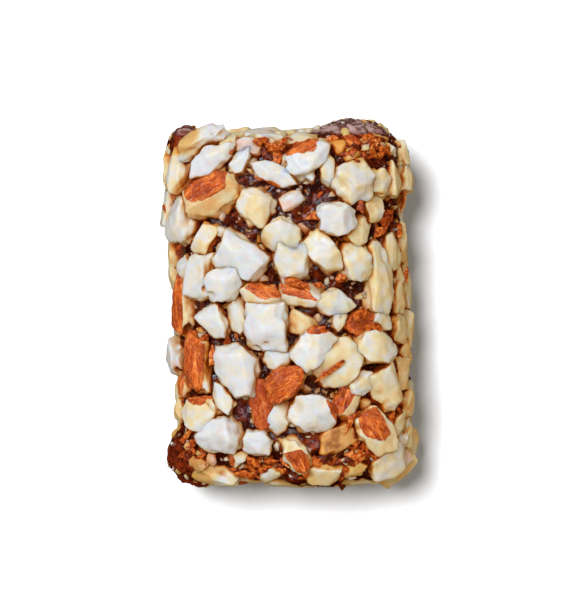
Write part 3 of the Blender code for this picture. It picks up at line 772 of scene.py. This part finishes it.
# Each row: the mean length in mm, how many spots are tried, and the least gap for the pieces' size.
SCATTER_SIZES = ((6.2, 400, 0.82), (5.0, 500, 0.80), (4.2, 300, 0.80), (3.4, 260, 0.76))
TOP_LEVEL = 0.42  # how level the log is from where its top begins
END_LEVEL = 0.7  # how squarely its ends face along it
END_PRESSED = 0.4  # how much deeper pieces sit on the ends, in mm
END_SHARE = 0.9  # the share of the pieces that cling there
BARE_LEVEL = 0.1
BARE_SWELL = 0.35 * MM  # paste that has swollen out further than this is bare, if it is more level than that
SWELL_PRESSED = 0.9  # the share of a swelling's height that pieces on it are pressed in by
SKIN_ON_SHARE = 0.2


def scattered_nuts(taken):
    """Pieces drawn round the sides, the ends and underneath, each clear of the ones before it."""
    draw = random.Random(SCATTER_SEED)
    for mean_length, tries, gap in SCATTER_SIZES:
        for _try in range(tries):
            direction = [draw.gauss(0, 1) for _axis in range(3)]
            length = mean_length * draw.uniform(0.82, 1.25)
            width = length * draw.uniform(0.6, 0.9)
            turn = draw.uniform(0, 360)
            outline = draw.choice(LIKELY_OUTLINES)
            has_skin = draw.random() < SKIN_ON_SHARE
            skin_bearing = draw.uniform(0, 360)
            skin_elevation = draw.uniform(-15, 90)
            lift = draw.uniform(-0.7, 0.1)
            chance = draw.random()
            outer = log_point(direction, HALF_SIZE)
            normal = log_normal(outer, HALF_SIZE)
            lift -= SWELL_PRESSED * swell_at(outer) / MM
            on_end = abs(normal[1]) > END_LEVEL
            if on_end:
                lift -= END_PRESSED
            size = (length + width) / 2 * MM
            if normal[2] > TOP_LEVEL or (on_end and chance > END_SHARE):
                continue
            if normal[2] > BARE_LEVEL and swell_at(outer) > BARE_SWELL:
                continue
            if any(np.linalg.norm(outer - other) < gap * (size + wide) / 2 for other, wide in taken):
                continue
            skin = (skin_bearing, skin_elevation) if has_skin else None
            taken.append((outer, size))
            place = outer[:2] / MM
            yield Nut(*place, length, width, turn, outline, lift, skin, 0.75 * chance - 0.1), outer, normal


first_rolled = len(placed_nuts)
foot = Nut(0.0, 0.0, 6.4, 5.0, 20, "block", 0.0, None, 0.3)
down = np.array((0.0, 0.0, -1.0))
placed_nuts.append((foot, FIRST_NUT_SEED + len(placed_nuts), log_point(down, HALF_SIZE), down))
taken = [(outer, (nut.length + nut.width) / 2 * MM) for nut, _seed, outer, _normal in placed_nuts]
for nut, outer, normal in scattered_nuts(taken):
    placed_nuts.append((nut, FIRST_NUT_SEED + len(placed_nuts), outer, normal))
rolled_bare = [entry for entry in placed_nuts[first_rolled:] if not entry[0].skin]
rolled_skinned = [entry for entry in placed_nuts[first_rolled:] if entry[0].skin]
almond_piece("rolled_in_bare_almonds", rolled_bare, 11, waxy_flesh)
almond_piece("rolled_in_skin_on_almonds", rolled_skinned, 12, skinned_almond)

# The rims of the paste. Pressing the almonds in squeezes the soft paste up round each of them, and the rim
# holds the piece in place.

RIM_HEIGHT = 0.3 * MM
RIM_REACH = 0.5 * MM
RIM_EDGE, RIM_SLOPE = 1.3, 0.4  # where it ends and how wide its slope is, in the piece's half-sizes
PASTE_OFF_THE_TABLE = 0.05 * MM

rim = np.zeros(len(paste_points))
for nut, _seed, outer, normal in placed_nuts:
    half = nut_half_size(nut) + RIM_REACH
    near = np.nonzero(np.abs(paste_points - outer).max(axis=1) < half[0] + 2 * MM)[0]
    own = (paste_points[near] - outer) @ nut_axes(nut, normal).T
    away = np.hypot(own[:, 0] / half[0], own[:, 1] / half[1])
    risen = np.clip((RIM_EDGE - away) / RIM_SLOPE, 0, 1)
    rim[near] = np.maximum(rim[near], RIM_HEIGHT * risen)
paste_points = paste_points + paste_normals * rim[:, None]
paste_points[:, 2] = np.maximum(paste_points[:, 2], PASTE_OFF_THE_TABLE)
date_paste.data.vertices.foreach_set("co", paste_points.ravel())
date_paste.data.update()

# The small chips and the crumbs. Chopping leaves chips two or three millimetres long, and crumbs down to a
# third of a millimetre, most of them bare. They stick wherever the paste is open, pressed in or just caught.

CHIP_SEED = 5
FIRST_CHIP_SEED = 5000
CHIP_SIZES = ((2.6, 0.5, 150), (1.7, 0.4, 70))  # mean size in mm, its spread and how many
CHIP_ON_TOP = 1.3  # how large they are on top, where the spaces between the pieces are small
# Mean size, its spread, how many, and how many of them are strewn on top.
CRUMB_SIZES = ((1.3, 0.3, 300, 50), (0.8, 0.25, 700, 170), (0.5, 0.15, 500, 120))
CRUMB_CORNERS = 11
CHIP_TONES = (-0.7, -0.4, -0.2, 0.0, 0.1, 0.3, 0.8)

# Chips that stand out singly: place and size in mm, and tone.
CHIPS_ON_TOP = (
    (-3.7, 19.1, 1.4, 0.2),
    (-8.0, 16.1, 1.2, 0.3),
    (-6.3, 14.6, 0.9, -0.4),
    (-5.7, 14.1, 0.8, -0.4),
    (-8.1, 10.8, 1.1, -0.3),
    (-8.1, 8.9, 1.5, 0.2),
    (2.0, 14.9, 0.9, 0.0),
    (8.8, -11.4, 1.6, 0.5),
    (1.8, -9.7, 1.3, 0.1),
    (-12.9, -16.5, 1.1, -0.3),
    (-11.3, -18.6, 1.8, -0.5),
    (-12.3, -19.3, 1.3, -0.4),
    (-10.7, -17.4, 0.8, -0.2),
    (-9.3, -18.0, 1.6, -0.6),
    (-5.7, -18.8, 1.0, 0.0),
    (-2.9, -18.0, 1.1, 0.0),
    (-1.8, -18.7, 0.9, -0.3),
    (-1.5, -16.6, 1.0, 0.1),
    (7.8, -17.6, 1.2, 0.3),
    (6.5, -18.2, 1.0, 0.3),
    (5.9, 19.0, 1.9, 0.8),
    (7.2, 18.1, 1.7, 0.9),
    (12.4, 18.7, 1.4, 0.5),
    (10.7, 19.0, 1.3, -0.4),
    (11.6, 20.2, 1.2, -0.4),
    (9.2, 18.6, 0.9, 0.3),
    (8.8, 20.4, 0.8, 0.0),
)


paste_surface = BVHTree.FromPolygons(paste_points.tolist(), paste_faces.tolist())


def spot_on_paste(start, toward):
    """Where the paste is met from a start, as a place in the log's surface and the way it faces."""
    met, normal, _face, _away = paste_surface.ray_cast(Vector(start), Vector(toward))
    normal = np.array(normal)
    return np.array(met) + normal * (NUT_RISE - swell_at(np.array(met))), normal


def spot_from_above(x, y):
    """The place on the paste under a point given in mm, or on the log's edge if that is past it."""
    edge = log_top(x * MM, y * MM, PASTE_HALF_SIZE)
    return spot_on_paste((edge[0], edge[1], 0.1), (0, 0, -1))


def spot_anywhere(draw):
    """A place anywhere on the paste."""
    toward = Vector([draw.gauss(0, 1) for _axis in range(3)]).normalized()
    middle = Vector((0, draw.uniform(-0.3, 0.3) * ROLL_LENGTH, MIDDLE_HEIGHT))
    return spot_on_paste(middle + toward * 0.1, -toward)


def crumb(draw, size, outer, normal, lift):
    """A crumb with sharp corners, as the hull of a few points round its middle, and its grain."""
    hull = bmesh.new()
    half = Vector((size, size * draw.uniform(0.5, 0.9), size * draw.uniform(0.4, 0.8))) * MM / 2
    facing = Vector(normal).to_track_quat("Z", "Y").to_matrix()
    turned = facing @ Matrix.Rotation(draw.uniform(0, math.tau), 3, "Z")
    for _corner in range(CRUMB_CORNERS):
        toward = Vector([draw.gauss(0, 1) for _axis in range(3)]).normalized()
        hull.verts.new(turned @ (toward * half) * draw.uniform(0.85, 1.1))
    bmesh.ops.convex_hull(hull, input=hull.verts)
    bmesh.ops.delete(hull, geom=[corner for corner in hull.verts if not corner.link_faces], context="VERTS")
    hull.verts.index_update()
    own = np.array([tuple(corner.co) for corner in hull.verts])
    faces = np.array([[corner.index for corner in face.verts] for face in hull.faces])
    hull.free()
    points = own + outer + normal * (swell_at(outer) + lift - NUT_RISE)
    points[:, 2] = np.maximum(points[:, 2], OFF_THE_TABLE)
    return points, faces, points / MM


draw = random.Random(CHIP_SEED)
chips = []
for x, y, size, tone in CHIPS_ON_TOP:
    shape = Nut(x, y, size * 1.15, size * 0.9, draw.uniform(0, 360), "block", 0.0, None, tone)
    chips.append((shape, FIRST_CHIP_SEED + len(chips), *spot_from_above(x, y)))
for mean_size, spread, count in CHIP_SIZES:
    for _chip in range(count):
        outer, normal = spot_anywhere(draw)
        size = mean_size + draw.uniform(-spread, spread)
        if normal[2] > TOP_LEVEL or swell_at(outer) > BARE_SWELL:
            size *= CHIP_ON_TOP / mean_size
        width, turn = size * draw.uniform(0.6, 0.9), draw.uniform(0, 360)
        outline, lift = draw.choice(LIKELY_OUTLINES), size * draw.uniform(-0.25, 0.02)
        tone = draw.choice(CHIP_TONES)
        shape = Nut(*outer[:2] / MM, size * 1.2, width, turn, outline, lift, None, tone)
        chips.append((shape, FIRST_CHIP_SEED + len(chips), outer, normal))
almond_piece("small_almond_chips", chips, 7, waxy_flesh, 0.6)

crumbs = []
for mean_size, spread, count, on_top in CRUMB_SIZES:
    for number in range(count):
        if number < on_top:
            outer, normal = spot_from_above(draw.uniform(-15, 15), draw.uniform(-21, 21))
        else:
            outer, normal = spot_anywhere(draw)
        size = mean_size + draw.uniform(-spread, spread)
        lift = size * draw.uniform(-0.15, 0.3) * MM
        crumbs.append((*crumb(draw, size, outer, normal, lift), stored_tone(draw.choice(CHIP_TONES))))
joined_almonds("almond_crumbs", crumbs, [np.zeros(len(shape[0])) for shape in crumbs], waxy_flesh, 1.6)

# Loose flakes of skin. Chopping also tears skin off in thin curled flakes, which catch in the paste at the
# far corner and along the near end, and lie on the almonds here and there. A few stand out past the edge.

FLAKE_SEED = 8
FLAKE_THICKNESS = 0.2 * MM
SETTLED = 0.65  # how high a flake lies on bare paste at most, in mm
FLAKE_SIZES = ((2.2, 0.8, 120), (1.0, 0.3, 110))  # mean length, its spread and how many
FLAKE_SLIMNESS = (0.35, 0.75)  # a strewn flake's width for its length
FLAKE_TONES = (0.0, 0.72)
TOP_FLAKES_FROM = 0.4  # the darkest tone of the flakes that stand out singly
DRIFT_LIMIT = 20.2  # how far along the roll drifts reach, in mm
DRIFT_LENGTHS = (1.3, 3.5)
# Where flakes drift together: the middle and the spread each way in mm, and how many.
FLAKE_DRIFTS = (
    (9.4, 18.3, 2.4, 1.1, 24),
    (-2.4, 19.6, 1.8, 0.7, 8),
    (-2.0, -18.8, 3.0, 0.9, 30),
    (7.6, -18.0, 2.2, 1.4, 16),
    (-11.4, -16.8, 0.9, 1.4, 7),
    (11.5, 9.8, 1.6, 1.2, 7),
)

# Place, length, width and turn, then the height over the paste, the curl and the tip, in mm and degrees.
Flake = namedtuple("Flake", "x y length width turn height curl tip")
FLAKES_ON_TOP = (
    # round the far end
    Flake(-12.3, 17.4, 3.2, 1.1, 80, 1.3, 0.3, 40),
    Flake(-8.3, 19.4, 1.5, 0.9, 20, 1.0, 0.2, 10),
    Flake(-7.2, 18.8, 1.6, 0.9, -30, 0.9, 0.2, -20),
    Flake(-3.4, 20.5, 2.4, 1.4, 30, 0.8, 0.4, 15),
    Flake(-2.3, 19.4, 2.0, 1.3, -20, 0.7, 0.3, -10),
    Flake(-0.8, 20.3, 1.7, 1.0, 60, 0.9, 0.3, 20),
    Flake(5.2, 20.4, 2.2, 1.2, 10, 0.6, 0.3, 10),
    Flake(7.0, 18.0, 2.4, 1.5, 25, 0.7, 0.4, -12),
    Flake(9.6, 19.2, 2.0, 1.2, -35, 0.8, 0.3, 14),
    Flake(11.3, 20.0, 2.0, 1.0, 15, 0.7, 0.3, 20),
    Flake(12.4, 18.6, 2.4, 1.3, -40, 0.9, 0.4, -18),
    Flake(13.6, 19.6, 1.8, 1.1, -60, 0.6, 0.2, 10),
    Flake(8.3, 17.2, 1.8, 1.0, 70, 0.6, 0.2, 0),
    Flake(-14.7, 11.8, 1.5, 1.1, 80, 2.0, 0.2, 0),
    Flake(8.6, 12.1, 2.4, 1.1, 95, 1.8, 0.4, 25),
    Flake(14.6, 12.8, 3.4, 1.7, -50, 1.2, 0.5, -30),
    Flake(12.0, 10.7, 2.8, 1.8, 35, 1.3, 0.4, -14),
    Flake(11.6, 9.0, 2.6, 1.2, 30, 1.0, 0.3, 10),
    Flake(13.5, 8.9, 2.2, 1.2, 70, 1.5, 0.3, 0),
    # across the middle
    Flake(-14.0, 7.1, 2.2, 1.3, 85, 1.0, 0.2, 0),
    Flake(0.4, 2.8, 2.8, 1.1, -15, 2.2, 0.4, 12),
    Flake(3.3, 2.5, 2.4, 1.0, -10, 2.1, 0.3, -8),
    Flake(6.2, 3.3, 1.8, 1.0, 40, 0.7, 0.2, 0),
    Flake(8.3, -1.2, 3.4, 1.7, 20, 2.0, 0.5, 16),
    Flake(10.2, -2.4, 2.6, 1.3, -15, 1.9, 0.4, -12),
    Flake(3.3, -2.8, 1.8, 0.9, 30, 2.2, 0.3, 0),
    Flake(14.6, 3.6, 2.0, 1.2, 80, 1.4, 0.3, 0),
    Flake(-9.1, -5.9, 3.0, 1.6, 100, 1.4, 0.4, 12),
    Flake(-7.6, -4.2, 1.8, 0.9, 60, 0.9, 0.2, 0),
    Flake(-10.6, -3.6, 1.9, 1.0, 20, 1.0, 0.3, 0),
    Flake(4.4, -7.8, 3.4, 1.0, 28, 2.3, 0.3, 10),
    Flake(5.6, -7.0, 2.2, 0.8, 34, 2.3, 0.3, 0),
    Flake(6.3, -10.0, 2.6, 1.6, 60, 1.3, 0.4, 0),
    # the near end
    Flake(7.6, -13.3, 3.4, 1.0, 52, 1.5, 0.4, 20),
    Flake(7.8, -16.2, 2.0, 1.1, 50, 1.0, 0.3, 10),
    Flake(12.8, -13.4, 2.4, 1.3, 60, 1.0, 0.3, 0),
    Flake(13.6, -12.3, 1.9, 1.1, -20, 1.1, 0.2, 0),
    Flake(-12.7, -15.4, 2.6, 1.3, 70, 0.4, 0.4, 0),
    Flake(-11.5, -16.7, 2.4, 1.1, -50, 0.3, 0.3, 10),
    Flake(-12.2, -17.6, 2.2, 1.1, 40, 0.3, 0.3, 0),
    Flake(-12.4, -18.8, 2.2, 1.2, 20, 0.2, 0.3, 0),
    Flake(-11.2, -19.7, 2.2, 1.2, -10, 0.2, 0.3, 0),
    Flake(-10.1, -19.9, 2.4, 1.0, 10, 0.4, 0.3, 0),
    Flake(-8.6, -19.3, 1.8, 0.9, -20, 0.6, 0.2, 0),
    Flake(-6.0, -20.7, 2.8, 0.9, 8, 0.9, 0.3, 10),
    Flake(-4.5, -18.9, 2.4, 1.4, -30, 0.8, 0.4, 14),
    Flake(-3.0, -19.7, 2.5, 1.2, 20, 0.8, 0.4, -12),
    Flake(-1.3, -19.4, 2.2, 1.4, 50, 0.9, 0.4, 16),
    Flake(-0.5, -18.3, 2.0, 1.0, -40, 0.9, 0.3, 0),
    Flake(-2.3, -18.5, 1.8, 1.0, 10, 0.8, 0.3, 18),
    Flake(1.4, -20.1, 2.5, 1.3, 5, 0.8, 0.4, 0),
    Flake(3.2, -18.8, 2.2, 1.0, 30, 0.6, 0.3, 0),
    Flake(6.1, -21.0, 2.4, 1.5, 70, 1.0, 0.5, -30),
    Flake(6.2, -19.2, 1.8, 1.1, -20, 0.6, 0.2, 0),
    Flake(10.0, -19.6, 2.2, 1.2, 10, 0.8, 0.3, 0),
)


def torn_outline(draw):
    """The rim of a many-cornered scrap about two across, with its edges torn a little uneven."""
    count = draw.randint(4, 6)
    corners = []
    for i in range(count):
        angle, radius = (i + draw.uniform(-0.38, 0.38)) * math.tau / count, draw.uniform(0.55, 1.35)
        corners.append(np.array((radius * math.cos(angle), radius * math.sin(angle))))
    rim = []
    for start, end in zip(corners, corners[1:] + corners[:1], strict=True):
        rim += [start, *(start + (end - start) * share * draw.uniform(0.86, 1.14) for share in (0.34, 0.66))]
    return np.array(rim)


def scrap_faces(count):
    """The faces of a thin scrap: on each side two rings and a middle, and a narrow edge between the sides."""
    faces = []
    for i in range(count):
        j = (i + 1) % count
        for first, flip in ((0, 1), (2 * count + 1, -1)):
            rim, ring, middle = first, first + count, first + 2 * count
            outside = ((rim + i, rim + j, ring + j), (rim + i, ring + j, ring + i))
            faces += [face[::flip] for face in (*outside, (ring + i, ring + j, middle))]
        under = 2 * count + 1
        faces += [(i, under + j, j), (i, under + i, under + j)]
    return np.array(faces)


def torn_flake(flake, draw, outer, normal):
    """A thin curled flake's points, faces and grain."""
    shape = Nut(flake.x, flake.y, flake.length, flake.width, flake.turn, "kite", 0.0, None, 0.0)
    place = unevenness_place(shape)
    rim = torn_outline(draw)
    flat = np.concatenate((rim, 0.6 * rim, ((0.0, 0.0),)))
    flat = np.concatenate((flat, flat))
    side = np.repeat((0.5, -0.5), len(flat) // 2)
    own = np.column_stack((flat, np.zeros(len(flat))))
    grain = own * (flake.length / 2, flake.width / 2, 0) + place
    wrinkle = 0.16 * unevenness(own * (0.9, 1.8, 0) + place, 0.5, 12) * MM
    twist = draw.uniform(-0.5, 0.5) * own[:, 0] * own[:, 1]
    bend = flake.curl * MM * (own[:, 1] ** 2 + 0.4 * own[:, 0] ** 2 + twist)
    own = own * np.array((flake.length, flake.width, 0.0)) * MM / 2
    own[:, 2] = side * FLAKE_THICKNESS + wrinkle - bend
    for tip, first in ((math.radians(flake.tip), 1), (math.radians(draw.uniform(-14, 14)), 0)):
        level_side, raised = own[:, first].copy(), own[:, 2].copy()
        own[:, first] = level_side * math.cos(tip) - raised * math.sin(tip)
        own[:, 2] = level_side * math.sin(tip) + raised * math.cos(tip)
    points = own @ nut_axes(shape, normal) + outer + normal * (flake.height * MM - NUT_RISE + swell_at(outer))
    points[:, 2] = np.maximum(points[:, 2], OFF_THE_TABLE)
    return points, scrap_faces(len(rim)), grain


def spot_on_top(flake):
    """A flake with its place and the way it faces: lower and on the paste where that is swollen bare."""
    outer = log_top(flake.x * MM, flake.y * MM, HALF_SIZE)
    if swell_at(outer) > BARE_SWELL:
        return flake._replace(height=min(flake.height, SETTLED)), spot_from_above(flake.x, flake.y)
    return flake, (outer, log_normal(outer, HALF_SIZE))


def strewn_flakes(draw):
    """The flakes in drifts, and then the ones all over the roll, with their places on it."""
    for x, y, spread_x, spread_y, count in FLAKE_DRIFTS:
        for _flake in range(count):
            size = draw.uniform(*DRIFT_LENGTHS)
            at_x, at_y = x + draw.gauss(0, spread_x), y + draw.gauss(0, spread_y)
            at_y = min(max(at_y, -DRIFT_LIMIT), DRIFT_LIMIT)
            width, turn = size * draw.uniform(*FLAKE_SLIMNESS), draw.uniform(0, 360)
            tip = draw.uniform(-20, 20)
            flake = Flake(at_x, at_y, size, width, turn, draw.uniform(0.05, 0.55), 0.22 * size, tip)
            yield flake, spot_from_above(at_x, at_y)
    for mean_size, spread, count in FLAKE_SIZES:
        for _flake in range(count):
            outer, normal = spot_anywhere(draw)
            while swell_at(outer) > BARE_SWELL and normal[2] < TOP_LEVEL:
                outer, normal = spot_anywhere(draw)
            size = mean_size + draw.uniform(-spread, spread)
            width, turn = size * draw.uniform(*FLAKE_SLIMNESS), draw.uniform(0, 360)
            tip, height = draw.uniform(-26, 26), draw.uniform(0.0, 0.5)
            yield Flake(*outer[:2] / MM, size, width, turn, height, 0.2 * size, tip), (outer, normal)


draw = random.Random(FLAKE_SEED)
flakes = [spot_on_top(flake) for flake in FLAKES_ON_TOP]
flakes += strewn_flakes(draw)
flake_shapes = []
for flake, (outer, normal) in flakes:
    darkest = TOP_FLAKES_FROM if len(flake_shapes) < len(FLAKES_ON_TOP) else FLAKE_TONES[0]
    flake_shapes.append((*torn_flake(flake, draw, outer, normal), draw.uniform(darkest, FLAKE_TONES[1])))
loose_flakes = joined_piece("loose_skin_flakes", flake_shapes, CRISP_EDGE)

torn_skin, torn_surface = surface_of("torn_skin")
torn_grain = stored(torn_skin, "grain", "Vector")
torn_mottle = mottling(torn_skin, torn_grain, 2.6, 6.0, 0.7)
torn_patches = between(torn_skin, torn_mottle, 0.36, 0.64, -0.38, 0.3)
torn_shade = reckoned(torn_skin, "ADD", stored(torn_skin, "tone"), torn_patches)
torn_colour = ramp(
    torn_skin,
    torn_shade,
    (0.0, colour(70, 20, 4)),
    (0.3, colour(138, 46, 8)),
    (0.6, colour(196, 86, 18)),
    (0.85, colour(226, 126, 42)),
    (1.0, colour(236, 180, 112)),
)
give(
    torn_skin,
    torn_surface,
    {
        "Base Color": torn_colour,
        "Roughness": between(torn_skin, torn_mottle, 0.3, 0.7, 0.28, 0.5),
        "Normal": shader_node(
            torn_skin, "ShaderNodeBump", {"Height": torn_mottle, "Strength": 0.5, "Distance": 0.2 * MM}
        ).outputs["Normal"],
    },
)
loose_flakes.data.materials.append(torn_skin)

# The floor, the light and the camera. The roll lies on plain white card, in soft daylight from the far left
# and skylight from overhead. The card has its own lamp nearly straight above, which keeps it white, with a
# short soft shadow on the right and at the near end. The wet paste mirrors neither the room nor the card.

CARD_SIZE = 1.2
PICTURE_HEIGHT = 72.6 * MM  # what the camera takes in, top to bottom, at the roll's widest level
CAMERA_HEIGHT = 1.0
LOOKED_AT = (0.1 * MM, 0.54 * MM)
FAR_LEFT = (-0.30, 0.24, 0.34)

card = bpy.data.meshes.new("white_card")
corner = CARD_SIZE / 2
corners = [(-corner, -corner, 0), (corner, -corner, 0), (corner, corner, 0), (-corner, corner, 0)]
card.from_pydata(corners, [], [(0, 1, 2, 3)])
floor = bpy.data.objects.new("white_card", card)
bpy.context.scene.collection.objects.link(floor)
floor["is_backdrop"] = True
card_paper, card_surface = surface_of("white_card_paper")
card_place = shader_node(card_paper, "ShaderNodeTexCoord").outputs["Object"]
card_tint = between(card_paper, mottling(card_paper, card_place, 900, 3.0), 0.3, 0.7)
give(
    card_paper,
    card_surface,
    {
        "Base Color": mixed(card_paper, card_tint, colour(172, 190, 226), colour(174, 192, 228)),
        "Roughness": 0.9,
        # The card glows faintly bluish, painted light that lifts and cools the shadow on it.
        "Emission Color": (0.6, 0.65, 0.75, 1.0),
        "Emission Strength": 0.05,
    },
)
card.materials.append(card_paper)

floor.visible_glossy = False
floor.visible_diffuse = False

card_only = bpy.data.collections.new("card_only")
card_only.objects.link(floor)
roll_only = bpy.data.collections.new("all_but_the_card")
roll_only.objects.link(floor)
roll_only.collection_objects[0].light_linking.link_state = "EXCLUDE"


def shine(name, kind, energy, tint, toward, lit):
    """A light of a kind that shines from a way off, on what a collection says, with its object."""
    light = bpy.data.lights.new(name, kind)
    light.energy, light.color = energy, tint
    lamp = bpy.data.objects.new(name, light)
    lamp.rotation_euler = Vector(toward).to_track_quat("Z", "Y").to_euler()
    lamp.light_linking.receiver_collection = lit
    bpy.context.scene.collection.objects.link(lamp)
    return light, lamp


daylight, _lamp = shine("daylight", "SUN", 1.02, (0.82, 0.95, 1.18), (-0.42, 0.42, 0.85), roll_only)
daylight.angle = math.radians(10)
skylight, skylight_lamp = shine("skylight", "SUN", 1.17, (0.83, 0.955, 1.19), (-0.14, 0.15, 1.0), roll_only)
skylight.angle = math.radians(12)
skylight_lamp.visible_glossy = False
glints, _lamp = shine("glints", "SUN", 0.3, (1.1, 1.0, 0.92), (0.10, 0.22, 1.0), roll_only)
glints.angle = math.radians(5)
card_light, _lamp = shine("card_light", "SUN", 7.2, (1.19, 0.97, 0.69), (-0.18, 0.135, 1.0), card_only)
card_light.angle = math.radians(15)
softbox, softbox_lamp = shine("softbox", "AREA", 0.3, (1.0, 0.96, 0.92), FAR_LEFT, roll_only)
softbox.shape, softbox.size = "DISK", 0.07
softbox_lamp.location = FAR_LEFT

world = bpy.data.worlds.new("white_room")
world.use_nodes = True
world.node_tree.nodes["Background"].inputs["Color"].default_value = (1.0, 0.755, 0.43, 1.0)
world.node_tree.nodes["Background"].inputs["Strength"].default_value = 0.515
world.cycles_visibility.glossy = False
bpy.context.scene.world = world
bpy.context.scene.view_settings.view_transform = "Standard"

lens = bpy.data.cameras.new("overhead_camera")
lens.sensor_width = 36.0
lens.lens = lens.sensor_width * (CAMERA_HEIGHT - MIDDLE_HEIGHT) / PICTURE_HEIGHT
overhead = bpy.data.objects.new("overhead_camera", lens)
overhead.location = (*LOOKED_AT, CAMERA_HEIGHT)
bpy.context.scene.collection.objects.link(overhead)
bpy.context.scene.camera = overhead

boxes = {"cad": cad_box, "visual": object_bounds()}
{name: [list(corner) for corner in box] for name, box in boxes.items()}
